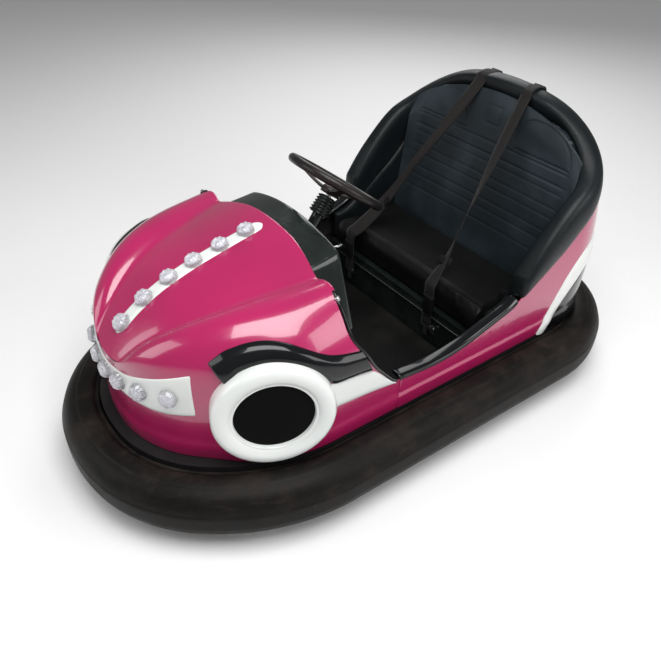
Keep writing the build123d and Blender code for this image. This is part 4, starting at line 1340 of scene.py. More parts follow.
def build_trims():
    """The gloss bead along the bonnet's rear edge, the rounded caps on the sills and their screws."""
    path = [side_spot(edge_y(z) - 4.0, z, 0.0) for z in np.linspace(360.0, TRIM_TOP, 46)]
    beads = []
    for side in SIDES:
        line = [(side * point.x, point.y, point.z) for point in path]
        beads.append(tube(f"bead_{side}", line, BEAD_RADIUS, "black", 10))
    settle(subdivide(joined("bonnet_edge_beads", beads)), "car", "black_gloss", "edge_trims")
    caps = []
    for side in SIDES:
        rows = []
        for y in np.linspace(SILL_FRONT, SILL_REAR, 64):
            level = edge_z(y)
            half = wall_level(level)[0]
            rows.append([(side * (half + out), y, level + up) for out, up in CAP_SECTION])
        caps.append(grid_object(f"cap_{side}", rows, "black", close_columns=True, caps=True))
    settle(subdivide(joined("sill_caps_round", caps)), "car", "black_gloss", "sill_caps")
    clips = []
    bolt_x, bolt_y, bolt_z = SILL_BOLT
    for side in SIDES:
        place = Matrix.Translation((side * bolt_x, bolt_y, bolt_z)) @ Matrix.Rotation(side * 0.2, 4, "Z")
        clips.append(revolved(f"bolt_{side}", BOLT_HEAD, place, "bright", 20, close=False))
        spot = side_spot(edge_y(STUD_Z) + 2.0, STUD_Z, 4.0)
        stud = facing_place(Vector((side * 0.8, 0.3, 0.5)), Vector((side * spot.x, spot.y, spot.z)))
        clips.append(revolved(f"stud_{side}", BOLT_HEAD, stud, "bright", 20, close=False))
    settle(joined("trim_screws", clips), "car", "bare_steel")


# ---------------------------------------------------------------- padding
def baked(made):
    """The object's shape with its modifiers applied."""
    depsgraph = bpy.context.evaluated_depsgraph_get()
    mesh = bpy.data.meshes.new_from_object(made.evaluated_get(depsgraph))
    old = made.data
    made.modifiers.clear()
    made.data = mesh
    bpy.data.meshes.remove(old)
    return made


def vertex_array(mesh, kind="co"):
    """The places of a mesh's vertices, or their normals, row by row."""
    values = np.empty(len(mesh.vertices) * 3)
    mesh.vertices.foreach_get(kind, values)
    return values.reshape(-1, 3)


CLOTH_FRAMES = 20


def stuffed(node, name, finish, voxel, start, swell, pressure=4.0):
    """A frame solid's pad, drawn in, blown up as cloth and held near its own room."""
    source = NODES[node]
    made = bpy.data.objects.new(name, source.data.copy())
    bpy.context.scene.collection.objects.link(made)
    remesh = made.modifiers.new("remesh", "REMESH")
    remesh.mode = "VOXEL"
    remesh.voxel_size = voxel * MM
    baked(made)
    mesh = made.data
    low, high = (np.array(corner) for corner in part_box(node))
    rest = vertex_array(mesh) - vertex_array(mesh, "normal") * start * MM
    mesh.vertices.foreach_set("co", rest.ravel())
    mesh.update()
    relax = made.modifiers.new("relax", "SMOOTH")
    relax.factor = 0.5
    relax.iterations = 12
    baked(made)
    rest = vertex_array(made.data)
    cloth = made.modifiers.new("cloth", "CLOTH")
    cloth.settings.quality = 4
    cloth.settings.mass = 0.3
    cloth.settings.tension_stiffness = 12
    cloth.settings.compression_stiffness = 12
    cloth.settings.bending_stiffness = 2.0
    cloth.settings.use_pressure = True
    cloth.settings.uniform_pressure_force = pressure
    cloth.settings.effector_weights.gravity = 0.0
    cloth.collision_settings.use_collision = False
    cloth.point_cache.frame_start = 1
    cloth.point_cache.frame_end = CLOTH_FRAMES
    for step in range(1, CLOTH_FRAMES + 1):
        bpy.context.scene.frame_set(step)
    baked(made)
    bpy.context.scene.frame_set(1)
    blown = vertex_array(made.data)
    move = blown - rest
    size = np.linalg.norm(move, axis=1)
    held = rest + move * np.minimum(1.0, swell * MM / np.maximum(size, 1e-9))[:, None]
    held = np.clip(held, low, high)
    made.data.vertices.foreach_set("co", held.ravel())
    made.data.update()
    for face in made.data.polygons:
        face.use_smooth = True
    made.data.materials.clear()
    made.data.materials.append(FINISHES[finish])
    ease = made.modifiers.new("ease", "SMOOTH")
    ease.factor = 0.5
    ease.iterations = 5
    baked(made)
    return made


# sewn lines across the bench: y, depth and width
BENCH_SEAMS = [(286.0, 3.0, 7.0)]


def build_bench(look):
    """The bench's squab, swollen over its board, with a rolled front."""
    made = stuffed("seat_base_cushion", "bench_pad", "bench", look.weave_voxel / MM, 10.0, 22.0)
    pressed(made, BENCH_SEAMS)
    subdivide(made)
    settle(made, "car", "seat_vinyl", "seat_base_cushion")


def pressed(made, seams):
    """Sewn lines pressed into a pad's upper side."""
    mesh = made.data
    points = vertex_array(mesh)
    normals = vertex_array(mesh, "normal")
    for place, depth, width in seams:
        near = np.exp(-(((points[:, 1] / MM - place) / width) ** 2))
        points[:, 2] -= near * np.maximum(normals[:, 2], 0.0) * depth * MM
    mesh.vertices.foreach_set("co", points.ravel())
    mesh.update()


ROLL_FRONT = 361.0
ROLL_ARCH = (505.0, 337.0)
# the roll's top seen from the side: y, z and corner radius
ROLL_TOP = [
    (900.0, 978.0, 5.0),
    (700.0, 977.5, 24.0),
    (640.0, 860.0, 120.0),
    (560.0, 772.0, 200.0),
    (430.0, 640.0, 300.0),
    (236.0, 420.0, 14.0),
]
# its section: inward from the wall, share of its height, and further rise
ROLL_SECTION = [
    (3.0, 0.0, -10.0),
    (-4.0, 0.0, 1.0),
    (-10.0, 0.14, 0.0),
    (-13.0, 0.34, 0.0),
    (-13.5, 0.55, 0.0),
    (-11.0, 0.74, 0.0),
    (-4.0, 0.90, 0.0),
    (7.0, 0.98, 0.0),
    (22.0, 1.0, 0.0),
    (38.0, 0.985, 0.0),
    (50.0, 0.93, 0.0),
    (58.0, 0.82, 0.0),
    (62.0, 0.62, 0.0),
    (63.0, 0.35, 0.0),
    (63.0, 0.0, -12.0),
    (62.0, 0.0, -62.0),
    (46.0, 0.0, -64.0),
    (38.0, 0.0, -20.0),
    (20.0, 0.0, -8.0),
]
roll_path = side_path(ROLL_TOP)[::-1]


def roll_crest(x, y):
    """How high the roll's top stands over a point of the plan."""
    side = float(np.interp(y, roll_path[:, 0], roll_path[:, 1]))
    return min(side, arch_top(x, ROLL_ARCH))


RIM_RUNS = {}
# how far to either side of a point its direction is taken, as a share of the run
BESIDE_SHARE = 0.012


def level_run(key):
    """The walls' outline at a level from the roll's front to the middle of the tail, with its distances."""
    if key not in RIM_RUNS:
        outline = wall_outline(key * LEVEL_STEP)
        behind = outline[outline[:, 1] > ROLL_FRONT]
        behind = np.vstack([[behind[0][0], ROLL_FRONT], behind])
        steps = np.linalg.norm(np.diff(behind, axis=0), axis=1)
        RIM_RUNS[key] = behind, np.concatenate([[0.0], np.cumsum(steps)])
    return RIM_RUNS[key]


def rim_spot(share, z, inward=0.0):
    """A point of the walls at a height, a share of the way round to the tail's middle, drawn inward."""
    low = math.floor(z / LEVEL_STEP)
    spots = []
    for key in (low, low + 1):
        run, along = level_run(key)
        marks = np.clip(np.array([share - BESIDE_SHARE, share, share + BESIDE_SHARE]), 0.0, 1.0) * along[-1]
        x, y = np.interp(marks, along, run[:, 0]), np.interp(marks, along, run[:, 1])
        way = Vector((x[2] - x[0], y[2] - y[0])).normalized()
        if share > 1 - BESIDE_SHARE:
            way = Vector((-1.0, 0.0))
        spots.append(Vector((x[1] - way.y * inward, y[1] + way.x * inward, z)))
    return spots[0].lerp(spots[1], z / LEVEL_STEP - low)


def settled_height(share, start, limit):
    """Where the walls at a share of the way round meet a limit on their height."""
    z = start
    for _ in range(14):
        spot = rim_spot(share, z)
        z = 0.55 * z + 0.45 * limit(spot.x, spot.y)
    return z


def shell_limit(x, y):
    """How high the shell's own edge stands over a point of the plan."""
    return min(edge_z(y), arch_top(x, SHELL_ARCH))


def build_rim_roll():
    """The padded roll round the cockpit's rim, from sill to sill over the tail."""
    shares = np.linspace(0.0, 1.0, 72)
    edges = [settled_height(share, 700.0, shell_limit) for share in shares]
    crests = np.array([settled_height(share, 850.0, roll_crest) for share in shares])
    spread = np.concatenate([crests[:1] * 2 - crests[8:0:-1], crests, crests[-2:-10:-1]])
    crests = np.convolve(spread, np.hanning(19)[1:-1] / np.hanning(19).sum(), "valid")
    half = []
    for share, edge, crest in zip(shares, edges, crests):
        front = min(1.0, share / 0.1)
        height = crest - edge - 18.0 * (1 - front) ** 2
        tail = min(1.0, max(0.0, (share - 0.45) / 0.3))
        row = []
        for inward, part, rise in ROLL_SECTION:
            inward += 14.0 * tail if inward > 40.0 else 0.0
            row.append(rim_spot(share, edge + part * height + rise, inward))
        half.append(row)
    ends = []
    centre = sum(half[0], Vector((0.0, 0.0, 0.0))) / len(half[0])
    for share, back in ((0.04, 16.0), (0.4, 15.0), (0.72, 12.0), (0.92, 6.0)):
        ends.append([centre + (point - centre) * share - Vector((0.0, back, 0.0)) for point in half[0]])
    half = ends + half
    other = [[Vector((-point.x, point.y, point.z)) for point in row] for row in reversed(half)]
    made = grid_object("rim_roll", half + other[1:], "roll", close_columns=True)
    subdivide(made)
    settle(made, "car", "seat_vinyl", "rim_pad")


def build_liners(look):
    """The padded inner sides beside the bench."""
    made = stuffed("side_liners", "side_pads", "roll", look.weave_voxel / MM, 4.0, 5.0, 2.0)
    subdivide(made)
    settle(made, "car", "seat_vinyl", "side_liners")


BACK_HALF = 399.0
BACK_FOOT = (556.0, 299.0)
BACK_TILT = 7.4
BACK_ARCH = (640.0, 487.0, 290.0)
MOON_APEX, MOON_OUTER, MOON_INNER, MOON_FOOT, MOON_RISE = 195.0, 158.0, 78.0, 777.0, 110.0
BADGE_Z, BADGE_HALF = 853.0, 31.0
BACK_LINES = [764.0, 720.0, 692.0, 642.0, 608.0, 558.0, 524.0, 474.0]


def groove(distance, width, depth):
    """How deep a pressed line is at a distance from its middle."""
    return depth * math.exp(-((distance / width) ** 2))


def back_relief(x, z):
    """Pressed lines of the seat back: two half moons, a bare square and lines across."""
    deep = 0.0
    across = abs(x)
    u = (across - MOON_APEX) / (MOON_OUTER if across > MOON_APEX else MOON_INNER)
    if abs(u) < 1.0 and z > MOON_FOOT - 8.0:
        bow = MOON_FOOT + MOON_RISE * math.sqrt(1 - abs(u) ** (2.0 if u > 0 else 3.0))
        slope = math.hypot(1.0, min(6.0, abs(u) * 2.2))
        deep = max(deep, groove((z - bow) / slope, 3.4, 3.6))
        if z < bow:
            deep = max(deep, groove(z - MOON_FOOT, 3.4, 3.6))
            deep -= 2.2 * min(1.0, (bow - z) / 30.0) * min(1.0, max(0.0, z - MOON_FOOT) / 30.0)
    side = max(abs(x), abs(z - BADGE_Z))
    if side < BADGE_HALF + 10.0:
        deep = max(deep, groove(side - BADGE_HALF, 3.0, 3.2))
    if across < 372.0:
        fade = min(1.0, (372.0 - across) / 30.0)
        for line in BACK_LINES:
            strength = 3.2 if line > 700.0 else 1.8
            deep = max(deep, groove(z - line, 3.2, strength) * fade)
    return deep


def build_seat_back():
    """The moulded seat back with its pressed lines, rolled away at the edge."""
    tilt = math.radians(BACK_TILT)
    foot, half, rise = BACK_ARCH
    columns, lines = 201, 156
    rows = []
    for line in range(lines):
        share = line / (lines - 1)
        row = []
        for column in range(columns):
            across = -1 + 2 * column / (columns - 1)
            x = BACK_HALF * across
            top = foot + rise * math.sqrt(1 - (x / half) ** 2)
            z = BACK_FOOT[1] + (top - BACK_FOOT[1]) * share
            face = BACK_FOOT[0] + (z - BACK_FOOT[1]) * math.tan(tilt)
            near_top = max(0.0, 1 - (top - z) / 70.0)
            near_side = max(0.0, 1 - (BACK_HALF - abs(x)) / 60.0)
            roll = 10.0 * near_top**2 - 16.0 * near_side**2 * (1 - near_top)
            hollow = 8.0 * math.cos(math.pi / 2 * across) * math.sin(math.pi * min(1.0, share * 1.1))
            row.append((x, face + roll + hollow + back_relief(x, z), z))
        rows.append(row)
    made = grid_object("seat_back_moulding", rows, "vinyl")
    thicken(made, 24.0, 1.0)
    settle(made, "car", "seat_vinyl", "seat_back_cushion")


# ---------------------------------------------------------------- dash and steering
DASH_FRONT, DASH_REAR = -330.0, -205.0
DASH_HALF, DASH_TOP_HALF, DASH_BASE, DASH_TOP, DASH_ROUND = 312.0, 215.0, 480.0, 764.0, 120.0
DASH_DEPTHS = [
    (0.0, DASH_FRONT),
    (0.0, -250.0),
    (0.0, DASH_REAR - 16.0),
    (0.004, DASH_REAR - 8.0),
    (0.014, DASH_REAR - 3.0),
    (0.035, DASH_REAR - 0.5),
    (0.08, DASH_REAR),
    (0.3, DASH_REAR),
    (0.6, DASH_REAR),
    (0.97, DASH_REAR),
]


# the button's round section and its place, and the pull loop beside it
BUTTON = [
    (0.0, 13.0),
    (6.0, 12.6),
    (10.0, 11.0),
    (11.0, 8.0),
    (11.0, 3.0),
    (13.0, 2.5),
    (14.0, 0.0),
    (14.0, -4.0),
]
BUTTON_PLACE = Matrix.Translation((153.0, DASH_REAR, 665.0)) @ Matrix.Rotation(-math.pi / 2, 4, "X")
PULL_LOOP = [
    (178.0, -203.0, 690.0),
    (178.0, -180.0, 690.0),
    (184.0, -172.0, 694.0),
    (196.0, -172.0, 702.0),
    (204.0, -180.0, 706.0),
    (204.0, -203.0, 706.0),
]


def build_dash():
    """The glossy moulded cover under the bonnet's rear edge, round the column."""
    flank = [(DASH_HALF, DASH_BASE), (DASH_TOP_HALF, DASH_TOP)]
    corners = flank + [(-x, z) for x, z in reversed(flank)]
    outline = rounded_path(corners, [0.0, DASH_ROUND, DASH_ROUND, 0.0], 10.0, False)
    outline = evened(outline, 12.0, False)
    rows = []
    for shrink, y in DASH_DEPTHS:
        section = np.array(bonnet_section(max(y, -300.0)))
        row = []
        for x, z in outline:
            lid = float(np.interp(abs(x), section[:, 0], section[:, 1])) - 7.0
            z = min(z, lid)
            x, z = x * (1 - shrink), DASH_BASE + (z - DASH_BASE) * (1 - shrink)
            row.append((x, y, z))
        rows.append(row)
    made = grid_object("dash_moulding_shell", rows, "dash")
    subdivide(thicken(made, 3.0, -1.0))
    settle(made, "car", "black_gloss", "dash_cover")
    button = revolved("dash_button", BUTTON, BUTTON_PLACE, "red", 32, close=False)
    settle(button, "car", "body_gloss")
    handle = subdivide(tube("dash_pull_loop", PULL_LOOP, 2.6, "bright", 8))
    settle(handle, "car", "bare_steel")


WHEEL_CENTRE = (0.0, -53.0, 788.5)
COLUMN_TILT = 36.3
COLUMN = Matrix.Translation(WHEEL_CENTRE) @ Matrix.Rotation(-math.radians(COLUMN_TILT), 4, "X")
RIM_RADIUS, RIM_TUBE = 151.0, 14.0
HUB_PROFILE = [
    (0.0, -16.0),
    (9.0, -16.2),
    (10.5, -17.6),
    (20.0, -18.4),
    (27.0, -21.0),
    (31.0, -26.0),
    (32.0, -34.0),
    (31.5, -43.5),
    (0.0, -44.0),
]
# a spoke from the hub out: distance, height, half width, half thickness
SPOKE = [
    (20.0, -33.0, 19.0, 5.5),
    (40.0, -31.0, 16.0, 5.0),
    (70.0, -25.0, 13.0, 4.4),
    (100.0, -17.0, 12.5, 4.2),
    (125.0, -9.0, 13.5, 4.6),
    (140.0, -4.0, 17.0, 5.6),
    (150.0, -1.0, 22.0, 6.5),
]
BOOT_TOP, BOOT_PLEATS, BOOT_PITCH, BOOT_RADIUS = -52.0, 6, 10.0, 31.0
# one pleat of the boot: inward from its ridge, down from its top
PLEAT = [(6.0, 0.6), (1.4, 3.0), (0.0, 5.0), (1.4, 7.0), (5.4, 9.4)]


def build_steering():
    """The dished three-spoke wheel on the column."""
    angles = np.linspace(0, 2 * math.pi, 21)[:-1]
    ring = [(RIM_RADIUS + RIM_TUBE * math.cos(angle), RIM_TUBE * math.sin(angle)) for angle in angles]
    parts = [
        revolved("rim", ring, COLUMN, "wheel", 96),
        revolved("hub", HUB_PROFILE, COLUMN, "wheel", 48, close=False),
    ]
    for turn in (90.0, 210.0, 330.0):
        place = COLUMN @ Matrix.Rotation(math.radians(turn), 4, "Z")
        rows = []
        for reach, height, half, thick in flowing(SPOKE, 3):
            row = []
            for step in range(16):
                angle = 2 * math.pi * step / 16
                cos, sin = math.cos(angle), math.sin(angle)
                across = half * math.copysign(abs(cos) ** 0.6, cos)
                up = thick * math.copysign(abs(sin) ** 0.7, sin)
                row.append(place @ Vector((reach, across, height + up)))
            rows.append(row)
        parts.append(grid_object("spoke", rows, "wheel", close_columns=True, caps=True))
    settle(joined("three_spoke_wheel", parts), "steering", "wheel_rubber", "steering_wheel")


def build_boot():
    """The pleated rubber boot under the wheel."""
    profile = [(20.0, BOOT_TOP + 1.0), (BOOT_RADIUS - 8.0, BOOT_TOP)]
    for pleat in range(BOOT_PLEATS):
        base = BOOT_RADIUS + pleat * 0.8
        low = BOOT_TOP - pleat * BOOT_PITCH
        profile += [(base - inward, low - drop) for inward, drop in PLEAT]
    profile.append((20.0, BOOT_TOP - BOOT_PLEATS * BOOT_PITCH))
    made = revolved("pleated_boot", profile, COLUMN, "boot", 64, close=False)
    settle(made, "car", "wheel_rubber", "column_boot")


# ---------------------------------------------------------------- belts
CREST_FRONT, CREST_BACK, BACK_CLEAR = 655.0, 722.0, 900.0
# each belt from the pad's crest to its buckle in front of the bench: place, width and twist in degrees
BELT_PATHS = [
    [
        (98.0, 741.0, 905.0, 46.0, 0.0),
        (98.0, 735.0, 948.0, 46.0, 0.0),
        (98.0, 718.0, 975.0, 46.0, 0.0),
        (98.0, 700.0, 979.5, 46.0, 0.0),
        (100.0, 672.0, 968.0, 46.0, 4.0),
        (104.0, 638.0, 922.0, 46.0, 8.0),
        (120.0, 540.0, 790.0, 44.0, 14.0),
        (137.0, 446.0, 663.0, 38.0, 38.0),
        (150.0, 376.0, 566.0, 34.0, 62.0),
        (164.0, 310.0, 474.0, 38.0, 34.0),
        (176.0, 246.0, 416.0, 44.0, 6.0),
        (182.0, 224.0, 392.0, 46.0, 0.0),
        (183.0, 222.0, 350.0, 46.0, 0.0),
        (183.0, 222.0, 290.0, 46.0, 0.0),
        (183.0, 222.0, 238.0, 46.0, 0.0),
    ],
    [
        (-98.0, 741.0, 905.0, 46.0, 0.0),
        (-98.0, 735.0, 948.0, 46.0, 0.0),
        (-98.0, 718.0, 975.0, 46.0, 0.0),
        (-98.0, 700.0, 979.5, 46.0, 0.0),
        (-102.0, 672.0, 968.0, 46.0, -4.0),
        (-110.0, 638.0, 922.0, 44.0, -10.0),
        (-146.0, 540.0, 786.0, 36.0, -30.0),
        (-184.0, 444.0, 656.0, 28.0, -48.0),
        (-208.0, 380.0, 562.0, 30.0, -40.0),
        (-230.0, 318.0, 482.0, 46.0, -16.0),
        (-252.0, 252.0, 418.0, 58.0, -4.0),
        (-266.0, 224.0, 392.0, 54.0, 0.0),
        (-268.0, 222.0, 350.0, 46.0, 0.0),
        (-268.0, 222.0, 290.0, 46.0, 0.0),
        (-268.0, 222.0, 238.0, 46.0, 0.0),
    ],
]


# points across a strap, from edge to edge
STRAP_SHARES = (-1.0, -0.6, -0.2, 0.2, 0.6, 1.0)


def surface_of(made):
    """A ray-casting tree over a built piece, in metres."""
    depsgraph = bpy.context.evaluated_depsgraph_get()
    return BVHTree.FromObject(made, depsgraph)


def belt_ribbon(name, table):
    """A flat strap along its path, turned by its twist and resting on the rim roll."""
    path = [list(entry) for entry in flowing(table, 7)]
    roll = surface_of(bpy.data.objects["rim_roll"])
    for entry in path:
        if CREST_FRONT < entry[1] < CREST_BACK:
            above = Vector((entry[0] * MM, entry[1] * MM, 1.2))
            spot, _, _, _ = roll.ray_cast(above, Vector((0.0, 0.0, -1.0)))
            if spot is not None:
                entry[2] = max(spot.z / MM + 2.0, BACK_CLEAR)
    rows = []
    for index, entry in enumerate(path):
        here = Vector(entry[:3])
        before = Vector(path[max(0, index - 1)][:3])
        after = Vector(path[min(len(path) - 1, index + 1)][:3])
        run = (after - before).normalized()
        across = Vector((1.0, 0.0, 0.0)) - run * run.x
        across.normalize()
        across.rotate(Matrix.Rotation(math.radians(entry[4]), 3, run))
        half = entry[3] / 2
        cup = run.cross(across) * 0.8
        rows.append([here + across * (half * s) + cup * (1 - s * s) for s in STRAP_SHARES])
    made = grid_object(name, rows, "web")
    thicken(made, 2.6, 0.0)
    return baked(made)


BLOCK_CORNERS = [(x, y, z) for x in (-0.5, 0.5) for y in (-0.5, 0.5) for z in (-0.5, 0.5)]
BLOCK_FACES = [(0, 1, 3, 2), (4, 6, 7, 5), (0, 4, 5, 1), (2, 3, 7, 6), (0, 2, 6, 4), (1, 5, 7, 3)]


def block(name, centre, size, finish, turn=None, rounding=3.0):
    """A moulded block with rounded edges, for buckles and small fittings."""
    corners = [(x * size[0], y * size[1], z * size[2]) for x, y, z in BLOCK_CORNERS]
    made = mesh_object(name, corners, BLOCK_FACES, finish)
    soften_edges(made, rounding, 3)
    baked(made)
    place = Matrix.Translation(Vector(centre) * MM) @ (turn.to_4x4() if turn else Matrix.Identity(4))
    made.data.transform(place)
    return made


def build_belts():
    """Two webbing straps over the pad to the bench's front, with their slides and buckles."""
    straps = [belt_ribbon(f"strap_{index}", table) for index, table in enumerate(BELT_PATHS)]
    settle(joined("lap_straps", straps), "car", "webbing", "seat_belts")
    lean = Matrix.Rotation(math.radians(-36.0), 3, "X")
    far_turn, near_turn = (Matrix.Rotation(turn, 3, "Z") @ lean for turn in (-0.5, 0.35))
    slides = [
        block("slide_far", (-219.0, 350.0, 519.0), (52.0, 9.0, 26.0), "matte", far_turn),
        block("slide_near", (166.0, 300.0, 462.0), (50.0, 9.0, 30.0), "matte", near_turn),
        block("housing_near", (190.0, 218.0, 330.0), (40.0, 20.0, 62.0), "matte"),
        block("housing_far", (-268.0, 218.0, 330.0), (40.0, 20.0, 62.0), "matte"),
    ]
    settle(joined("belt_slides", slides), "car", "matte_black")
    tongues = []
    for x in (183.0, -268.0):
        tongues.append(block("tongue", (x, 222.5, 229.0), (52.0, 4.0, 18.0), "bright", None, 1.5))
        tongues.append(block("blade", (x, 222.5, 204.0), (18.0, 3.0, 34.0), "bright", None, 1.0))
    settle(joined("belt_tongues_pressed", tongues), "car", "bare_steel", "belt_tongues")
    foot = [
        block("foot_strip", (0.0, 236.5, 262.0), (790.0, 3.0, 5.0), "bright", None, 1.0),
        block("catch_plate", (205.0, 236.0, 214.0), (26.0, 6.0, 34.0), "bright", None, 1.5),
        block("catch_ear", (219.0, 231.0, 226.0), (8.0, 12.0, 14.0), "bright", None, 1.5),
    ]
    settle(joined("bench_foot_fittings", foot), "car", "bare_steel")


# ---------------------------------------------------------------- running gear
FRAME_FINISHES = {
    "rim_band": ("steel", "frame_steel"),
    "chassis_frame": ("steel", "frame_steel"),
    "floor_pan": ("steel", "frame_steel"),
    "floor_mat": ("mat", "floor_mat"),
    "bulkhead": ("matte", "matte_black"),
    "seat_box": ("dash", "black_gloss"),
    "column_tube": ("boot", "frame_steel"),
    "steering_shaft": ("bright", "bare_steel"),
    "swivel_bridge": ("steel", "frame_steel"),
    "drive_fork": ("iron", "cast_iron"),
    "drive_motor": ("iron", "cast_iron"),
    "drive_wheel_tyre": ("tread", "wheel_rubber"),
    "drive_wheel_hub": ("iron", "cast_iron"),
    "rear_wheel_left_tyre": ("tread", "wheel_rubber"),
    "rear_wheel_left_hub": ("iron", "cast_iron"),
    "rear_wheel_right_tyre": ("tread", "wheel_rubber"),
    "rear_wheel_right_hub": ("iron", "cast_iron"),
    "axle_brackets": ("steel", "frame_steel"),
    "battery_pack": ("matte", "matte_black"),
    "foot_pedal": ("matte", "matte_black"),
}


def finish_frame():
    """Finishes on the frame's own pieces, with a small round on their edges."""
    for name, (finish, slot) in FRAME_FINISHES.items():
        node = NODES[name]
        node.data.materials.clear()
        node.data.materials.append(FINISHES[finish])
        soften_edges(node, 1.2, 2, 35.0)


# ---------------------------------------------------------------- stage
# half the floor's width, and where the lamps point, in metres
FLOOR_HALF = 30.0
LAMP_AIM = (0.0, 0.0, 0.4)


def build_stage(stage):
    """A pale floor, soft lamps and the camera."""
    scene = bpy.context.scene
    scene.view_settings.view_transform = "Standard"
    half = FLOOR_HALF / MM
    corners = [(-half, -half, 0.0), (half, -half, 0.0), (half, half, 0.0), (-half, half, 0.0)]
    made = [mesh_object("stage_floor", corners, [(0, 1, 2, 3)], "floor", False)]
    for name, place, energy, width in (
        ("stage_key", (1.2, -0.6, 3.4), stage.key_power, 2.2),
        ("stage_side", (3.4, 1.6, 2.2), stage.key_power * 0.45, 2.0),
        ("stage_back", (-2.4, 2.6, 2.8), stage.key_power * 0.5, 2.4),
        ("stage_nose", (-1.4, -3.4, 2.0), stage.key_power * 0.3, 2.0),
    ):
        lamp = bpy.data.lights.new(name, "AREA")
        lamp.energy = energy
        lamp.size = width
        holder = bpy.data.objects.new(name, lamp)
        scene.collection.objects.link(holder)
        holder.location = place
        holder.rotation_euler = (Vector(LAMP_AIM) - Vector(place)).to_track_quat("-Z", "Y").to_euler()
        made.append(holder)
    world = bpy.data.worlds.new("studio")
    scene.world = world
    world.use_nodes = True
    sky = world.node_tree.nodes["Background"]
    sky.inputs["Color"].default_value = (1.0, 1.0, 1.0, 1.0)
    sky.inputs["Strength"].default_value = stage.surround
    camera = bpy.data.objects.new("studio_camera", bpy.data.cameras.new("studio_camera"))
    scene.collection.objects.link(camera)
    turn, height, roll = (math.radians(value) for value in (stage.azimuth, stage.elevation, stage.roll))
    back = Vector((math.sin(turn) * math.cos(height), -math.cos(turn) * math.cos(height), math.sin(height)))
    level = (-back).cross(Vector((0.0, 0.0, 1.0))).normalized()
    rise = level.cross(-back)
    right = level * math.cos(roll) + rise * math.sin(roll)
    up = rise * math.cos(roll) - level * math.sin(roll)
    place = Matrix((right, up, back)).transposed().to_4x4()
    place.translation = Vector(stage.camera_place)
    camera.matrix_world = place
    camera.data.sensor_width = 36.0
    camera.data.lens = stage.lens
    scene.camera = camera
    made.append(camera)


# ---------------------------------------------------------------- settings
class BodyLook(bpy.types.PropertyGroup):
    body_colour: FloatVectorProperty(
        name="Body colour",
        description="Gel coat colour of the bonnet and the tail",
        default=(0.43, 0.0105, 0.100),
        size=3,
        min=0.0,
        max=1.0,
        subtype="COLOR",
    )
    body_roughness: FloatProperty(
        name="Body roughness",
        description="How dull the gel coat is",
        default=0.2,
        min=0.0,
        max=1.0,
        subtype="FACTOR",
    )
    dust_colour: FloatVectorProperty(
        name="Dust colour",
        description="Colour of the dust on the bumper tyre",
        default=(0.036, 0.027, 0.022),
        size=3,
        min=0.0,
        max=1.0,
        subtype="COLOR",
    )
    dent_depth: FloatProperty(
        name="Dent depth",
        description="How deep knocks go into the bumper tyre",
        default=0.0012,
        unit="LENGTH",
    )


class PaddingLook(bpy.types.PropertyGroup):
    weave_voxel: FloatProperty(
        name="Cloth grid", description="Grid size of the pads before they swell", default=0.007, unit="LENGTH"
    )


class LampLook(bpy.types.PropertyGroup):
    lamp_radius: FloatProperty(
        name="Lamp radius", description="Radius of each clear lamp", default=0.0285, unit="LENGTH",
    )
    lamp_height: FloatProperty(
        name="Lamp height", description="Height of each clear lamp", default=0.022, unit="LENGTH",
    )


class StageLook(bpy.types.PropertyGroup):
    azimuth: FloatProperty(name="Azimuth", description="Direction of the camera round the car", default=53.5)
    elevation: FloatProperty(name="Elevation", description="Height angle of the camera", default=37.5)
    roll: FloatProperty(name="Roll", description="Tilt of the camera's horizon", default=0.9)
    camera_place: FloatVectorProperty(
        name="Camera",
        description="Where the camera stands",
        default=(1.595, -1.2455, 1.750),
        size=3,
        unit="LENGTH",
    )
    lens: FloatProperty(name="Lens", description="Focal length in millimetres", default=38.21)
    key_power: FloatProperty(
        name="Lamp power", description="Power of the overhead lamp", default=105.0, unit="POWER",
    )
    surround: FloatProperty(name="Surround", description="Strength of the white surround", default=0.22)
    floor_tone: FloatProperty(
        name="Floor tone", description="How pale the floor is", default=0.93, subtype="FACTOR",
    )


# ---------------------------------------------------------------- operators
def builder(identifier, label, make, *groups):
    """One operator that builds a piece or a group of like pieces from its settings."""

    def execute(self, context):
        make(*[getattr(context.scene, group) for group in groups])
        return {"FINISHED"}

    return type(
        "CAR_OT_" + identifier,
        (bpy.types.Operator,),
        {"bl_idname": "car." + identifier, "bl_label": label, "__doc__": make.__doc__, "execute": execute},
    )


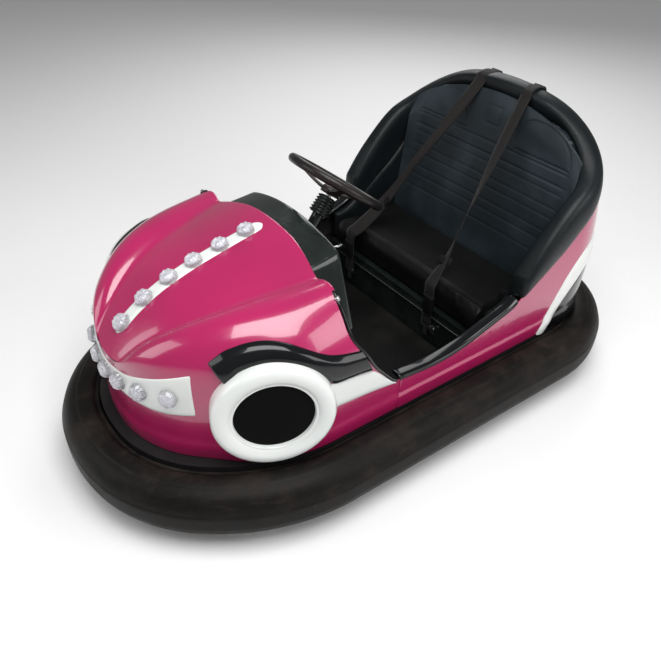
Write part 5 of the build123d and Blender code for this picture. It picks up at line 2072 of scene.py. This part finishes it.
OPERATORS = [
    builder("finishes", "Mix finishes", make_finishes, "car_body", "car_stage"),
    builder("shells", "Build body shells", build_shells),
    builder("dressing", "Build bonnet dressing", build_dressing),
    builder("tail_dressing", "Build tail dressing", build_tail_dressing),
    builder("false_wheels", "Build false wheels", build_false_wheels),
    builder("lamps", "Build lamps", build_lamps, "car_lamps"),
    builder("bumper", "Build bumper tyre", build_bumper, "car_body"),
    builder("trims", "Build trims and sills", build_trims),
    builder("dash", "Build dash", build_dash),
    builder("steering", "Build steering wheel", build_steering),
    builder("boot", "Build column boot", build_boot),
    builder("seat_back", "Build seat back", build_seat_back),
    builder("bench", "Build bench", build_bench, "car_padding"),
    builder("rim_roll", "Build rim roll", build_rim_roll),
    builder("liners", "Build side pads", build_liners, "car_padding"),
    builder("belts", "Build belts", build_belts),
    builder("frame", "Finish running gear", finish_frame),
    builder("stage", "Build stage", build_stage, "car_stage"),
]
GROUPS = {"car_body": BodyLook, "car_padding": PaddingLook, "car_lamps": LampLook, "car_stage": StageLook}


class CAR_PT_panel(bpy.types.Panel):
    bl_label = "Bumper Car"
    bl_idname = "CAR_PT_panel"
    bl_space_type = "VIEW_3D"
    bl_region_type = "UI"
    bl_category = "Bumper Car"

    def draw(self, context):
        layout = self.layout
        for name, group in GROUPS.items():
            box = layout.box()
            for field in group.__annotations__:
                box.prop(getattr(context.scene, name), field)
        for operator in OPERATORS:
            layout.operator(operator.bl_idname)


def register():
    for group in GROUPS.values():
        bpy.utils.register_class(group)
    for name, group in GROUPS.items():
        setattr(bpy.types.Scene, name, PointerProperty(type=group))
    for operator in OPERATORS:
        bpy.utils.register_class(operator)
    bpy.utils.register_class(CAR_PT_panel)


def unregister():
    bpy.utils.unregister_class(CAR_PT_panel)
    for operator in reversed(OPERATORS):
        bpy.utils.unregister_class(operator)
    for name in GROUPS:
        delattr(bpy.types.Scene, name)
    for group in reversed(GROUPS.values()):
        bpy.utils.unregister_class(group)


def main():
    """Builds the whole car, piece by piece, and writes how big it came out."""
    register()
    for operator in OPERATORS:
        getattr(bpy.ops.car, operator.bl_idname.split(".")[1])()


if __name__ == "__main__":
    main()
